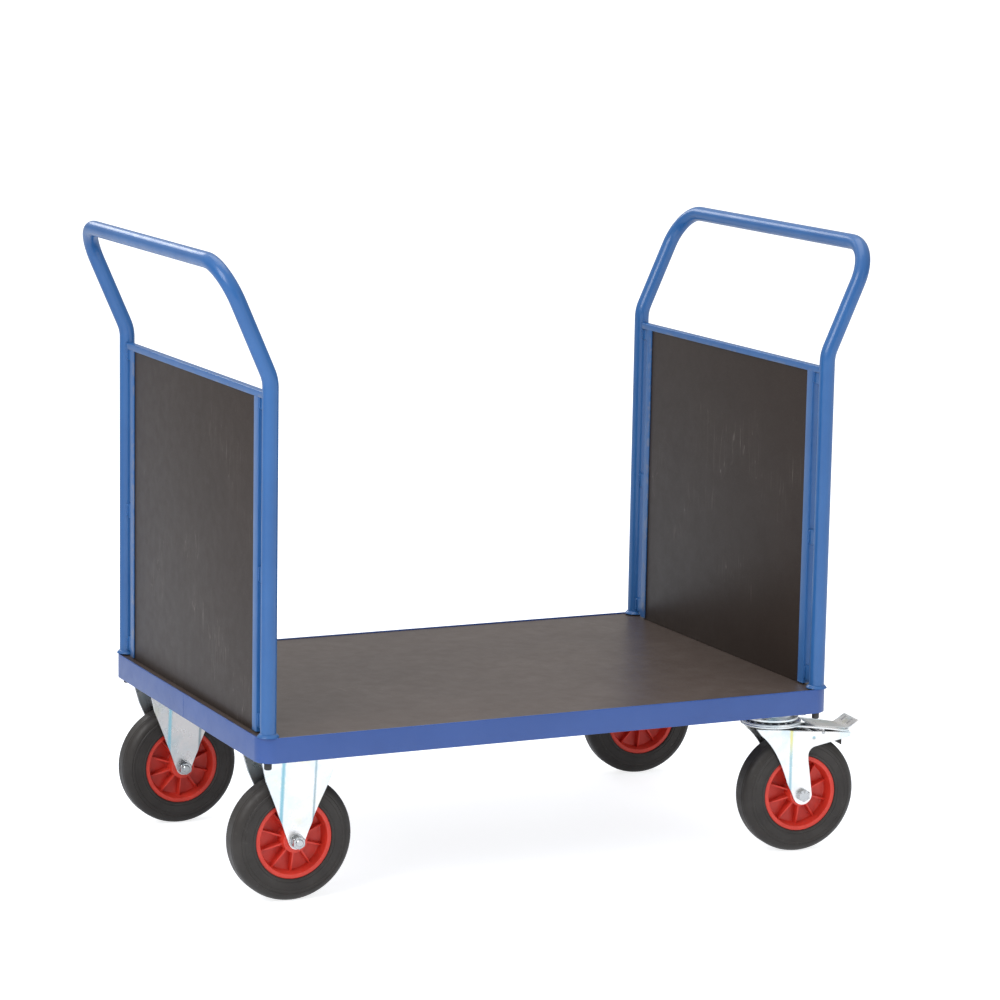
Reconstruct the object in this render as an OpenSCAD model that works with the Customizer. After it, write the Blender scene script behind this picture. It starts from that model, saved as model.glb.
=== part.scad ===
// Double-ended platform truck: steel platform with a plywood deck, two plug-in
// ends with plywood panels and push bars, two fixed castors and two braked
// swivel castors. Millimetres, +Z up, the floor at z = 0 and the middle of the
// platform over the origin. The swivel castors are at the +X end.

/* [Platform] */
// Length over the rim
platform_l = 1000; // [900:10:1200]
// Width over the rim
platform_w = 680; // [640:10:820]
// Height of the rim band
rim_h = 40; // [36:1:50]
// Thickness of the rim band
rim_t = 3; // [2:0.5:4]
// Outer radius of the rim's upright corners
rim_r = 28; // [22:1:36]
// How far the rim hangs below the castor plates' top face
rim_hang = 3; // [0:0.5:6]
// Width of the ledge that carries the deck
ledge_w = 12; // [8:1:16]
// Thickness of the ledge
ledge_t = 3; // [2:0.5:4]
// Thickness of the plywood deck
deck_t = 15; // [9:1:16]
// Depth of the deck's face below the rim's top edge
deck_drop = 2; // [1:0.5:4]
// Gap between the deck and the rim
deck_gap = 0.5; // [0.2:0.1:1.5]
// Width of a cross tube
cross_w = 40; // [25:5:50]
// Wall of a cross tube
cross_wall = 2; // [1.5:0.5:3]

/* [Castor pads] */
// Length of a welded castor pad
pad_l = 180; // [150:5:220]
// Width of a welded castor pad
pad_w = 150; // [145:5:180]
// Thickness of a welded castor pad
pad_t = 4; // [3:0.5:6]

/* [Ends] */
// Outside diameter of the end tube
tube_d = 25; // [22:0.5:28]
// Wall of the end tube
tube_wall = 1.5; // [1.2:0.1:2.5]
// From the rim's end face to a post's axis
post_in_x = 18.5; // [18:0.5:22]
// From the rim's side face to a post's axis
post_in_y = 15.5; // [15:0.5:20]
// Height of the push bar's axis above the rim
bar_rise = 724; // [620:1:820]
// How far the push bar leans out past the posts
bar_lean = 78; // [50:1:110]
// Lean of the upper part of the tube, in degrees
lean_angle = 24; // [18:1:32]
// Bend radius at the foot of the lean
lean_bend_r = 60; // [45:1:90]
// Bend radius at the top corners
corner_bend_r = 65; // [50:1:90]
// Diameter of a post's foot collar
collar_d = 34.5; // [32:0.5:36]
// Height of a post's foot collar
collar_h = 5.5; // [4:0.5:8]
// Height of the top rail's upper face above the rim
rail_rise = 528; // [440:1:530]
// Depth of the top rail
rail_h = 10; // [8:1:14]
// Width of a side strip
strip_w = 18; // [14:1:22]
// Gap between a side strip and its post
strip_gap = 21; // [8:1:30]
// Thickness of the plywood end panel
panel_t = 9; // [6:1:10]
// Steel each side of the panel in the rail and strips
lip_t = 2; // [1.5:0.5:2.5]
// How deep the panel sits in the rail and strips
panel_bite = 7; // [5:0.5:8]
// Gap under the end panel
panel_gap = 0.3; // [0.2:0.1:1]
// Height of a weld tab between a strip and its post
tab_h = 24; // [15:1:30]

/* [Sockets] */
// Outside diameter of a corner socket
socket_d = 18; // [16:0.5:19]
// Diameter of a spigot
spigot_d = 12; // [10:0.5:13]
// Radial running clearance, used at every turning or sliding fit
run_gap = 0.05; // [0.02:0.01:0.1]
// Diameter of a spigot's reduced tip
tip_d = 9; // [7:0.5:9]
// How far a capped tip shows below the rim
cap_show = 12; // [8:1:16]
// How far a spigot's plug reaches up inside its post
plug_h = 30; // [20:1:40]

/* [Wheels] */
// Wheel diameter
wheel_d = 200; // [180:5:205]
// Tyre width
tyre_w = 50; // [44:1:52]
// Half width of the flat band on the tread
tread_half = 7.5; // [5:0.5:10]
// Diameter where the tyre meets its centre
centre_d = 126; // [116:2:136]
// Face width of the wheel centre
centre_w = 45; // [40:1:46]
// Radial width of the wheel centre's flange
flange_w = 7; // [5:0.5:10]
// Thickness of the wheel centre's web
web_t = 5; // [4:0.5:8]
// Hub diameter
hub_d = 40; // [36:1:46]
// Number of ribs on each face
rib_count = 10; // [8:1:12]
// Thickness of a rib
rib_t = 2.5; // [2:0.5:4]
// Diameter of the hub's bush
bush_d = 20; // [18:1:24]
// Axle diameter
axle_d = 12; // [10:1:12]

/* [Castors] */
// From the floor to the top face of a castor's plate
castor_h = 243; // [238:1:260]
// Plate thickness
plate_t = 4; // [3:0.5:5]
// Pressed steel thickness of a fork
fork_t = 4; // [3:0.5:4.5]
// Half width over the raised band of a fork's legs
band_out = 34; // [33.5:0.5:37]
// How far the raised band stands out of the legs
band_rise = 3; // [2:0.5:3]
// Half width of a fixed fork's raised band
band_half = 21; // [18:1:26]
// Width of the slope beside a raised band
crease_w = 5; // [3:0.5:8]
// Fixed castor axis, from the rim's end face
fixed_in_x = 82; // [78:1:110]
// Fixed castor axis, from the rim's side face
fixed_in_y = 87; // [80:1:90]
// Length of a fixed castor's plate
fixed_plate_l = 140; // [130:1:144]
// Width of a fixed castor's plate
fixed_plate_w = 110; // [100:1:115]
// Half width of a fixed fork under its plate
fixed_top_half = 64; // [58:1:66]
// Half width of a fixed fork 55 above the axle
fixed_knee = 35; // [30:1:40]
// How far each leg of a fixed fork spreads on its way up to the plate
fixed_splay = 15; // [13:0.5:16]
// Radius round the axle at a fixed fork's lower end
fixed_end_r = 13; // [12.5:0.5:16]
// Swivel axis, from the rim's end face
swivel_in_x = 79; // [78:1:110]
// Swivel axis, from the rim's side face
swivel_in_y = 56; // [55:1:80]
// Length of a swivel castor's plate
swivel_plate_l = 105; // [100:1:106]
// Width of a swivel castor's plate
swivel_plate_w = 85; // [80:1:90]
// Trail from the swivel axis to the axle
trail = 46; // [40:1:50]
// Rest turn of the swivel forks, in degrees
swivel_turn = -5; // [-20:1:20]
// Radius of the swivel's upper cup
cup_r = 45; // [44:0.5:46]
// Radius of the fork's crown disc
crown_r = 50; // [48:1:54]
// Ball diameter in the swivel race
ball_d = 6; // [5:0.5:6]
// Pitch radius of the swivel race
race_r = 38; // [34:1:39]
// Number of balls in a race
ball_count = 18; // [12:1:20]
// Kingpin diameter
king_d = 12; // [10:1:14]
// Radius round the axle at a swivel fork's lower end
swivel_end_r = 16.5; // [15:0.5:18]

/* [Brake] */
// Pivot of the brake pedal, from the swivel axis
pivot_x = 80; // [76:1:84]
// Height of the pedal's pivot above the axle
pivot_rise = 103; // [102:1:105]
// Diameter of the pedal's pivot pin
pivot_d = 6; // [5:0.5:7]
// Reach of the brake housing's wings from the swivel axis
wing_reach = 130; // [120:1:134]
// Reach of the pedal's pad from the swivel axis
pedal_reach = 149; // [144:1:154]
// Width of the pedal
pedal_w = 55; // [40:1:56]
// Thickness of the pedal's steel
pedal_t = 3; // [2:0.5:4]
// Gap between the brake shoe and the tyre when it is off
shoe_gap = 7; // [6:0.5:8]
// Width of the brake shoe
shoe_w = 34; // [24:1:40]

/* [Fasteners] */
// Castor bolt diameter
bolt_d = 8; // [6:1:8]
// Castor bolt head and nut, across the flats
bolt_af = 13; // [11:1:13]
// Bolt holes' length spacing on a fixed plate
fixed_hole_x = 105; // [100:1:112]
// Bolt holes' width spacing on a fixed plate
fixed_hole_y = 66; // [60:1:67]
// Bolt holes' length spacing on a swivel plate
swivel_hole_x = 80; // [80:1:84]
// Bolt holes' width spacing on a swivel plate
swivel_hole_y = 60; // [60:1:66]
// Axle bolt head and nut, across the flats
axle_af = 19; // [17:1:22]
// Deck screw diameter
screw_d = 4.4; // [3.5:0.1:5]

/* [Hidden] */
$fn = 64;

paint_blue = "#4f78c0";
board_brown = "#554b46";
zinc = "#c9d6dc";
centre_red = "#c8322d";
rubber_black = "#3a3836";
cap_black = "#1c1c1e";

// Heights
rim_z = castor_h - rim_hang;
rim_top = rim_z + rim_h;
deck_top = rim_top - deck_drop;
deck_z = deck_top - deck_t;
pad_top = castor_h + pad_t;
plate_z = castor_h - plate_t;
axle_z = wheel_d / 2;
bar_z = rim_top + bar_rise;
rail_top = rim_top + rail_rise;

// Places in plan
half_l = platform_l / 2;
half_w = platform_w / 2;
post_x = half_l - post_in_x;
post_y = half_w - post_in_y;
fixed_x = half_l - fixed_in_x;
fixed_y = half_w - fixed_in_y;
swivel_x = half_l - swivel_in_x;
swivel_y = half_w - swivel_in_y;
cross_x = half_l - rim_t - pad_l - cross_w / 2;

// Ends
tube_r = tube_d / 2;
bore_r = tube_r - tube_wall;
lean_z = bar_z - bar_lean / tan(lean_angle);
lean_start = lean_bend_r * tan(lean_angle / 2);
bend_z = to_micron(lean_z - lean_start);
bar_run = to_micron((bar_z - lean_z) / cos(lean_angle) - lean_start);
frame_t = panel_t + 2 * lip_t;
strip_out = post_y - tube_r - strip_gap;
strip_in = strip_out - strip_w;
panel_half = strip_in + panel_bite;
panel_z = deck_top + panel_gap;
panel_top = rail_top - rail_h + panel_bite;
cap_z = rim_z - cap_show;
cap_wall = (spigot_d - tip_d) / 2;

// Castors
leg_out = band_out - band_rise;
hub_half = band_out - fork_t - 0.5;
king_head_t = 7;
crown_t = 5;
cup_t = 7;
neck_t = 7;
race_space = 3;
cup_z = plate_z - neck_t - cup_t;
crown_top = cup_z - race_space;
crown_z = crown_top - crown_t;
race_z = cup_z - race_space / 2;
pivot_z = axle_z + pivot_rise;
washer_t = 2;
washer_r = axle_d;
splay_z = axle_z + washer_r;
axle_nut_t = 10;
axle_head_t = 7.5;
bolt_head_t = 5.3;
bolt_nut_t = 6.8;
bolt_hole_r = bolt_d / 2 + 0.5;

function to_micron(x) = round(x * 1000) / 1000;
// Points on an arc of radius r about c, from angle a to angle b
function arc(c, r, a, b, n = 12) =
    [for (i = [0:n]) c + r * [cos(a + (b - a) * i / n), sin(a + (b - a) * i / n)]];
// Angle of the point where a line from p touches the circle of radius r about c, seen from c
function touch_angle(c, r, p, side) =
    let (d = norm(p - c)) atan2(p[1] - c[1], p[0] - c[0]) + side * acos(r / d);
// Points on the quadratic curve from a to b with the control point k
function bow(a, k, b, n = 8) =
    [for (i = [0:n]) let (t = i / n) (1 - t) * (1 - t) * a + 2 * t * (1 - t) * k + t * t * b];
function backwards(points) = [for (i = [len(points) - 1:-1:0]) points[i]];

module rounded_rect(l, w, r) {
    for (sx = [-1, 1], sy = [-1, 1])
        translate([sx * (l / 2 - r), sy * (w / 2 - r)]) circle(r);
    square([l - 2 * r, w], center = true);
    square([l, w - 2 * r], center = true);
}
module at_posts(sides = [-1, 1]) {
    for (sx = sides, sy = [-1, 1]) translate([sx * post_x, sy * post_y, 0]) children();
}
module hex_prism(af, h) {
    cylinder(h = h, d = af / cos(30), $fn = 6);
}
// Turns a shape drawn in X and Z (as 2D x and y) into a slab of half width w along Y
module side_slab(w) {
    translate([0, w, 0]) rotate([90, 0, 0]) linear_extrude(2 * w) children();
}

// ---- Platform ----
module chassis_rim() {
    color(paint_blue) {
        translate([0, 0, rim_z]) linear_extrude(rim_h) difference() {
            rounded_rect(platform_l, platform_w, rim_r);
            rounded_rect(platform_l - 2 * rim_t, platform_w - 2 * rim_t, rim_r - rim_t);
        }
        difference() {
            translate([0, 0, deck_z - ledge_t]) linear_extrude(ledge_t) difference() {
                rounded_rect(platform_l - rim_t, platform_w - rim_t, rim_r - rim_t / 2);
                square([platform_l - 2 * (rim_t + ledge_w), platform_w - 2 * (rim_t + ledge_w)],
                    center = true);
            }
            at_posts() translate([0, 0, rim_z]) cylinder(h = rim_h, d = socket_d);
            at_screws() translate([0, 0, rim_z]) cylinder(h = rim_h, d = screw_d);
        }
    }
}
module cross_tubes() {
    h = deck_z - castor_h;
    inner_w = platform_w - 2 * (rim_t + ledge_w);
    color(paint_blue) for (x = [-cross_x, 0, cross_x])
        translate([x, inner_w / 2, castor_h]) rotate([90, 0, 0]) linear_extrude(inner_w) difference() {
            translate([-cross_w / 2, 0]) square([cross_w, h]);
            translate([-cross_w / 2 + cross_wall, cross_wall])
                square([cross_w - 2 * cross_wall, h - 2 * cross_wall]);
        }
}
module castor_pads() {
    color(paint_blue) difference() {
        for (sx = [-1, 1], sy = [-1, 1]) translate([0, 0, castor_h]) linear_extrude(pad_t) intersection() {
            rounded_rect(platform_l - 2 * rim_t, platform_w - 2 * rim_t, rim_r - rim_t);
            translate([sx * (half_l - rim_t - pad_l / 2), sy * (half_w - rim_t - pad_w / 2)])
                square([pad_l, pad_w], center = true);
        }
        at_posts() translate([0, 0, rim_z]) cylinder(h = rim_h, d = socket_d);
        at_castor_bolts() cylinder(h = castor_h * 2, r = bolt_hole_r);
    }
}
module corner_sockets() {
    color(paint_blue) at_posts() translate([0, 0, castor_h]) linear_extrude(rim_top - castor_h)
        difference() {
            circle(d = socket_d);
            circle(spigot_d / 2 + run_gap);
        }
}
module deck_panel() {
    color(board_brown) difference() {
        translate([0, 0, deck_z]) linear_extrude(deck_t) rounded_rect(
            platform_l - 2 * (rim_t + deck_gap), platform_w - 2 * (rim_t + deck_gap),
            rim_r - rim_t - deck_gap);
        at_posts() translate([0, 0, rim_z]) cylinder(h = 2 * rim_h, r = socket_d / 2 + 0.3);
        at_screws() translate([0, 0, rim_z]) cylinder(h = deck_z - rim_z + screw_bite, d = screw_d);
    }
}
screw_bite = 10;
screw_head_t = 2.6;
module at_screws() {
    y = half_w - rim_t - ledge_w / 2;
    x = half_l - rim_t - ledge_w / 2;
    for (sy = [-1, 1], i = [-1.5:1:1.5]) translate([i * platform_l / 5, sy * y, 0]) children();
    for (sx = [-1, 1], i = [-1, 1]) translate([sx * x, i * platform_w / 5, 0]) children();
}
module deck_screws() {
    z = deck_z - ledge_t;
    color(zinc) at_screws() {
        translate([0, 0, z - screw_head_t]) cylinder(h = screw_head_t, d = 2 * screw_d);
        translate([0, 0, z]) cylinder(h = ledge_t + screw_bite, d = screw_d);
    }
}

// ---- Castor fasteners ----
module hole_corners(l, w) {
    for (sx = [-1, 1], sy = [-1, 1]) translate([sx * l / 2, sy * w / 2, 0]) children();
}
module at_castor_bolts() {
    for (sy = [-1, 1]) {
        translate([-fixed_x, sy * fixed_y, 0]) hole_corners(fixed_hole_x, fixed_hole_y) children();
        translate([swivel_x, sy * swivel_y, 0]) hole_corners(swivel_hole_x, swivel_hole_y) children();
    }
}
module castor_bolts() {
    color(zinc) at_castor_bolts() {
        translate([0, 0, plate_z - bolt_head_t]) hex_prism(bolt_af, bolt_head_t);
        translate([0, 0, plate_z]) cylinder(h = plate_t + pad_t + bolt_nut_t + 1.5, d = bolt_d);
    }
}
module castor_nuts() {
    color(zinc) at_castor_bolts() translate([0, 0, pad_top]) difference() {
        hex_prism(bolt_af, bolt_nut_t);
        translate([0, 0, -1]) cylinder(h = bolt_nut_t + 2, d = bolt_d);
    }
}

// ---- Ends, drawn at the +X end ----
module at_end(side) {
    if (side > 0) children();
    else mirror([1, 0, 0]) children();
}
module tube_ring() {
    difference() {
        circle(tube_r);
        circle(bore_r);
    }
}
module leaning() {
    translate([post_x + lean_bend_r, 0, bend_z]) rotate([0, lean_angle, 0])
        translate([-lean_bend_r, 0, 0]) children();
}
module end_tube(side) {
    bar_half = post_y - corner_bend_r;
    color(paint_blue) at_end(side) {
        for (sy = [-1, 1]) {
            translate([post_x, sy * post_y, rim_top]) linear_extrude(bend_z - rim_top) tube_ring();
            translate([post_x + lean_bend_r, sy * post_y, bend_z]) rotate([90, 0, 180])
                rotate_extrude(angle = lean_angle) translate([lean_bend_r, 0]) tube_ring();
        }
        leaning() union() {
            for (m = [0, 1]) mirror([0, m, 0]) {
                translate([0, post_y, 0]) linear_extrude(bar_run - corner_bend_r) tube_ring();
                translate([0, bar_half, bar_run - corner_bend_r]) rotate([90, 0, 90])
                    rotate_extrude(angle = 90) translate([corner_bend_r, 0]) tube_ring();
            }
            translate([0, bar_half, bar_run]) rotate([90, 0, 0]) linear_extrude(2 * bar_half) tube_ring();
        }
    }
}
module post_collars(side) {
    lip = 1.6;
    color(paint_blue) at_posts([side]) translate([0, 0, rim_top]) rotate_extrude()
        polygon(concat([[tube_r, 0], [collar_d / 2, 0]],
            arc([collar_d / 2, collar_h], collar_h - lip, 270, 180, 6),
            [[tube_r, collar_h]]));
}
module panel_frame(side) {
    strip_foot = rim_top + 1;
    module one_side() {
        difference() {
            translate([post_x - frame_t / 2, strip_in, strip_foot])
                cube([frame_t, strip_w, rail_top - strip_foot]);
            translate([post_x - panel_t / 2, strip_in - 1, strip_foot - 1])
                cube([panel_t, panel_bite + 1, rail_top]);
        }
        for (z = [strip_foot + 6, (rim_top + rail_top) / 2 - 30])
            translate([post_x - frame_t / 4, strip_out, z]) cube([frame_t / 2, strip_gap + tube_r, tab_h]);
    }
    color(paint_blue) at_end(side) difference() {
        union() {
            one_side();
            mirror([0, 1, 0]) one_side();
            translate([post_x - frame_t / 2, -post_y, rail_top - rail_h]) cube([frame_t, 2 * post_y, rail_h]);
        }
        translate([post_x - panel_t / 2, -panel_half, rim_top - 1])
            cube([panel_t, 2 * panel_half, panel_top - rim_top + 1]);
        for (sy = [-1, 1]) translate([post_x, sy * post_y, rim_z]) cylinder(h = bar_z, r = tube_r);
    }
}
module end_panel(side) {
    color(board_brown) at_end(side) translate([post_x - panel_t / 2, -panel_half, panel_z])
        cube([panel_t, 2 * panel_half, panel_top - panel_z]);
}
module spigots(side) {
    color(zinc) at_posts([side]) {
        translate([0, 0, rim_top]) cylinder(h = plug_h, r = bore_r);
        translate([0, 0, castor_h]) cylinder(h = rim_top - castor_h, d = spigot_d);
        translate([0, 0, cap_z + cap_wall]) cylinder(h = castor_h - cap_z - cap_wall, d = tip_d);
    }
}
module spigot_caps(side) {
    color(cap_black) at_posts([side]) translate([0, 0, cap_z]) difference() {
        cylinder(h = castor_h - cap_z, d = spigot_d);
        translate([0, 0, cap_wall]) cylinder(h = castor_h - cap_z, d = tip_d);
    }
}

// ---- Wheels, drawn with the axle through the origin of X and Z, along Y ----
module turned() {
    rotate([-90, 0, 0]) rotate_extrude() children();
}
module tyre() {
    w = tyre_w / 2;
    wr = wheel_d / 2;
    cr = centre_d / 2;
    round_r = w - tread_half;
    bead = 3;
    half_profile = concat(
        [[wr, 0]],
        arc([wr - round_r, tread_half], round_r, 90 - 90, 90, 12),
        arc([cr + bead, w - bead], bead, 90, 180, 6));
    profile = concat(half_profile, backwards([for (p = half_profile) [p[0], -p[1]]]));
    color(rubber_black) turned() polygon(profile);
}
module wheel_centre() {
    cr = centre_d / 2;
    cw = centre_w / 2;
    inner_face = cr - flange_w;
    inner_web = inner_face - 3;
    rib_in = 3.5;
    color(centre_red) difference() {
        union() {
            turned() {
                polygon([[inner_web, web_t / 2], [inner_face, cw], [cr, cw], [cr, -cw],
                    [inner_face, -cw], [inner_web, -web_t / 2]]);
                translate([hub_d / 2 - 1, -web_t / 2]) square([inner_web - hub_d / 2 + 2, web_t]);
                translate([bush_d / 2, -hub_half]) square([(hub_d - bush_d) / 2, 2 * hub_half]);
            }
            for (i = [0:rib_count - 1]) rotate([0, i * 360 / rib_count + 18, 0])
                translate([hub_d / 2 - 1, -cw + rib_in, -rib_t / 2])
                    cube([inner_web - hub_d / 2 + 2, 2 * (cw - rib_in), rib_t]);
        }
        rotate([-90, 0, 0]) translate([0, 0, -hub_half - 1]) cylinder(h = 2 * hub_half + 2, d = bush_d);
    }
}
module bush() {
    color("#d8d8d2") turned() translate([axle_d / 2 + run_gap, -hub_half])
        square([(bush_d - axle_d) / 2 - run_gap, 2 * hub_half]);
}
module axle_bolt(head_side) {
    tail = band_out + washer_t + axle_nut_t + 2.5;
    color(zinc) rotate([head_side > 0 ? 90 : -90, 0, 0]) {
        translate([0, 0, -band_out - axle_head_t]) hex_prism(axle_af, axle_head_t);
        translate([0, 0, -band_out]) cylinder(h = band_out + tail, d = axle_d);
    }
}
module axle_nut(head_side) {
    color(zinc) rotate([head_side > 0 ? 90 : -90, 0, 0]) difference() {
        union() {
            translate([0, 0, band_out]) cylinder(h = washer_t, r = washer_r);
            translate([0, 0, band_out + washer_t]) hex_prism(axle_af, axle_nut_t);
        }
        translate([0, 0, band_out - 1]) cylinder(h = washer_t + axle_nut_t + 2, d = axle_d);
    }
}

// ---- Fixed castors, drawn at their own axis ----
module at_fixed(side) {
    translate([-fixed_x, side * fixed_y, 0]) children();
}
// One leg's sheet seen along X, as [y, z], its outer face out from the castor's middle
function fixed_sheet(out) = [[out, 0], [out, splay_z], [out + fixed_splay, plate_z],
    [out + fixed_splay - fork_t, plate_z], [out - fork_t, splay_z], [out - fork_t, 0]];
module fixed_leg(half, out) {
    translate([-half, 0, 0]) rotate([90, 0, 90]) linear_extrude(2 * half) polygon(fixed_sheet(out));
}
module fixed_fork() {
    c = [0, axle_z];
    top = [[fixed_top_half, plate_z], [fixed_top_half - 10, axle_z + 100]];
    knee = [fixed_knee, axle_z + 55];
    low = touch_angle(c, fixed_end_r, knee, -1);
    right = concat(top, [knee]);
    color(zinc) difference() {
        union() {
            translate([-fixed_plate_l / 2, -fixed_plate_w / 2, plate_z])
                cube([fixed_plate_l, fixed_plate_w, plate_t]);
            for (m = [0, 1]) mirror([0, m, 0]) intersection() {
                difference() {
                    union() {
                        fixed_leg(fixed_top_half + 1, leg_out);
                        fixed_leg(band_half + crease_w, band_out);
                    }
                    fixed_leg(band_half + crease_w - fork_t, band_out - fork_t);
                }
                side_slab(2 * band_out) polygon(concat(right, arc(c, fixed_end_r, low, -180 - low, 24),
                    [for (p = backwards(right)) [-p[0], p[1]]]));
            }
        }
        hole_corners(fixed_hole_x, fixed_hole_y) cylinder(h = castor_h * 2, r = bolt_hole_r);
        translate([0, 2 * band_out, axle_z]) rotate([90, 0, 0]) cylinder(h = 4 * band_out, d = axle_d);
    }
}

// ---- Swivel castors, drawn at their own swivel axis with the trail along +X ----
module at_swivel(side) {
    translate([swivel_x, side * swivel_y, 0]) rotate([0, 0, swivel_turn]) children();
}
module top_plate(side) {
    color(zinc) translate([swivel_x, side * swivel_y, 0]) difference() {
        union() {
            translate([-swivel_plate_l / 2, -swivel_plate_w / 2, plate_z])
                cube([swivel_plate_l, swivel_plate_w, plate_t]);
            translate([0, 0, plate_z - neck_t]) cylinder(h = neck_t, r = cup_r - 6);
            translate([0, 0, cup_z]) cylinder(h = cup_t, r = cup_r);
        }
        hole_corners(swivel_hole_x, swivel_hole_y) cylinder(h = castor_h * 2, r = bolt_hole_r);
        translate([0, 0, cup_z - 1]) cylinder(h = castor_h, d = king_d);
        race_groove();
    }
}
module race_groove() {
    translate([0, 0, race_z]) rotate_extrude() translate([race_r, 0]) circle(ball_d / 2 + run_gap);
}
module kingpin(side) {
    color(zinc) translate([swivel_x, side * swivel_y, 0]) {
        translate([0, 0, crown_z - king_head_t - run_gap]) cylinder(h = king_head_t, r = king_d);
        translate([0, 0, crown_z - run_gap]) cylinder(h = castor_h - crown_z + run_gap, d = king_d);
    }
}
module race_balls(side) {
    color(zinc) translate([swivel_x, side * swivel_y, race_z])
        for (i = [0:ball_count - 1]) rotate([0, 0, i * 360 / ball_count])
            translate([race_r, 0, 0]) sphere(d = ball_d, $fn = 24);
}
crease_x = 21;
function swivel_plan(off) = let (
    x0 = -crown_r,
    half = [[wing_reach + 5, band_out - off], [crease_x + crease_w, band_out - off],
        [crease_x, leg_out - off], [x0, leg_out - off]])
    concat(half, [for (p = backwards(half)) [p[0], -p[1]]]);
function swivel_side() = let (
    c = [trail, axle_z],
    hollow_r = 15,
    leg_edge = trail + 8,
    hollow = [leg_edge + hollow_r, axle_z + 66],
    tip_r = 4,
    tip = [wing_reach - tip_r, axle_z + 97],
    nape = bow([-29, axle_z + 103], [0, axle_z + 80], [18.5, axle_z + 22]),
    left_touch = touch_angle(c, swivel_end_r, nape[len(nape) - 1], 1),
    right_touch = touch_angle(c, swivel_end_r, [leg_edge, hollow[1]], -1))
    concat(
        [[-40, crown_z]], nape,
        arc(c, swivel_end_r, left_touch, right_touch + 360, 20),
        arc(hollow, hollow_r, 180, 104, 8),
        arc(tip, tip_r, -76, 82, 8),
        [[44, crown_z]]);
module swivel_fork() {
    color(zinc) difference() {
        union() {
            translate([0, 0, crown_z]) cylinder(h = crown_t, r = crown_r);
            intersection() {
                linear_extrude(crown_z) difference() {
                    polygon(swivel_plan(0));
                    square([4 * crown_r + 4 * wing_reach, 2 * (leg_out - fork_t)], center = true);
                    translate([crease_x + crease_w, -band_out + fork_t])
                        square([2 * wing_reach, 2 * (band_out - fork_t)]);
                }
                side_slab(2 * band_out) polygon(swivel_side());
            }
        }
        translate([0, 0, crown_z - 1]) cylinder(h = crown_t + 2, r = king_d / 2 + run_gap);
        race_groove();
        translate([trail, 2 * band_out, axle_z]) rotate([90, 0, 0]) cylinder(h = 4 * band_out, d = axle_d);
        translate([pivot_x, 2 * band_out, pivot_z]) rotate([90, 0, 0]) cylinder(h = 4 * band_out, d = pivot_d);
    }
}
module brake_pin() {
    color(zinc) translate([pivot_x, band_out + 0.6, pivot_z]) rotate([90, 0, 0])
        cylinder(h = 2 * band_out + 1.2, d = pivot_d);
}
// The pedal's underside at distance x from the swivel axis
pedal_slope = 0.12;
pedal_knee = pedal_reach - 22;
function pedal_low(x) = pivot_z + pivot_d / 2 - (x - pivot_x) * pedal_slope;
module brake_pedal() {
    start = pivot_x - 12;
    pad_rise = 13.5;
    color(zinc) difference() {
        union() {
            side_slab(pedal_w / 2) polygon([
                [start, pedal_low(start)], [pedal_knee, pedal_low(pedal_knee)],
                [pedal_reach, pedal_low(pedal_knee) + pad_rise],
                [pedal_reach - pedal_t / 2, pedal_low(pedal_knee) + pad_rise + pedal_t],
                [pedal_knee - 1, pedal_low(pedal_knee) + pedal_t + 0.4],
                [start, pedal_low(start) + pedal_t]]);
            translate([pivot_x, pedal_w / 2, pivot_z]) rotate([90, 0, 0]) cylinder(h = pedal_w, d = 2 * pivot_d);
        }
        translate([pivot_x, band_out, pivot_z]) rotate([90, 0, 0])
            cylinder(h = 2 * band_out, r = pivot_d / 2 + run_gap);
    }
}
module brake_shoe() {
    c = [trail, axle_z];
    shoe_arc = arc(c, wheel_d / 2 + shoe_gap, 45, 57, 8);
    x0 = shoe_arc[len(shoe_arc) - 1][0];
    x1 = shoe_arc[0][0];
    color(rubber_black) side_slab(shoe_w / 2)
        polygon(concat(shoe_arc, [[x0, pedal_low(x0)], [x1, pedal_low(x1)]]));
}

// ---- Castors in place ----
module fixed_wheel(side) {
    at_fixed(side) translate([0, 0, axle_z]) children();
}
module swivel_wheel(side) {
    at_swivel(side) translate([trail, 0, axle_z]) children();
}

chassis_rim();
cross_tubes();
castor_pads();
corner_sockets();
deck_panel();
deck_screws();
castor_bolts();
castor_nuts();

end_tube(-1);  // left_end_tube
post_collars(-1);  // left_post_collars
panel_frame(-1);  // left_panel_frame
end_panel(-1);  // left_end_panel
spigots(-1);  // left_spigots
spigot_caps(-1);  // left_spigot_caps
end_tube(1);  // right_end_tube
post_collars(1);  // right_post_collars
panel_frame(1);  // right_panel_frame
end_panel(1);  // right_end_panel
spigots(1);  // right_spigots
spigot_caps(1);  // right_spigot_caps

at_fixed(-1) fixed_fork();  // fixed_near_fork
fixed_wheel(-1) axle_bolt(-1);  // fixed_near_axle_bolt
fixed_wheel(-1) axle_nut(-1);  // fixed_near_axle_nut
fixed_wheel(-1) bush();  // fixed_near_bush
fixed_wheel(-1) wheel_centre();  // fixed_near_wheel_centre
fixed_wheel(-1) tyre();  // fixed_near_tyre
at_fixed(1) fixed_fork();  // fixed_far_fork
fixed_wheel(1) axle_bolt(-1);  // fixed_far_axle_bolt
fixed_wheel(1) axle_nut(-1);  // fixed_far_axle_nut
fixed_wheel(1) bush();  // fixed_far_bush
fixed_wheel(1) wheel_centre();  // fixed_far_wheel_centre
fixed_wheel(1) tyre();  // fixed_far_tyre

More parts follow.
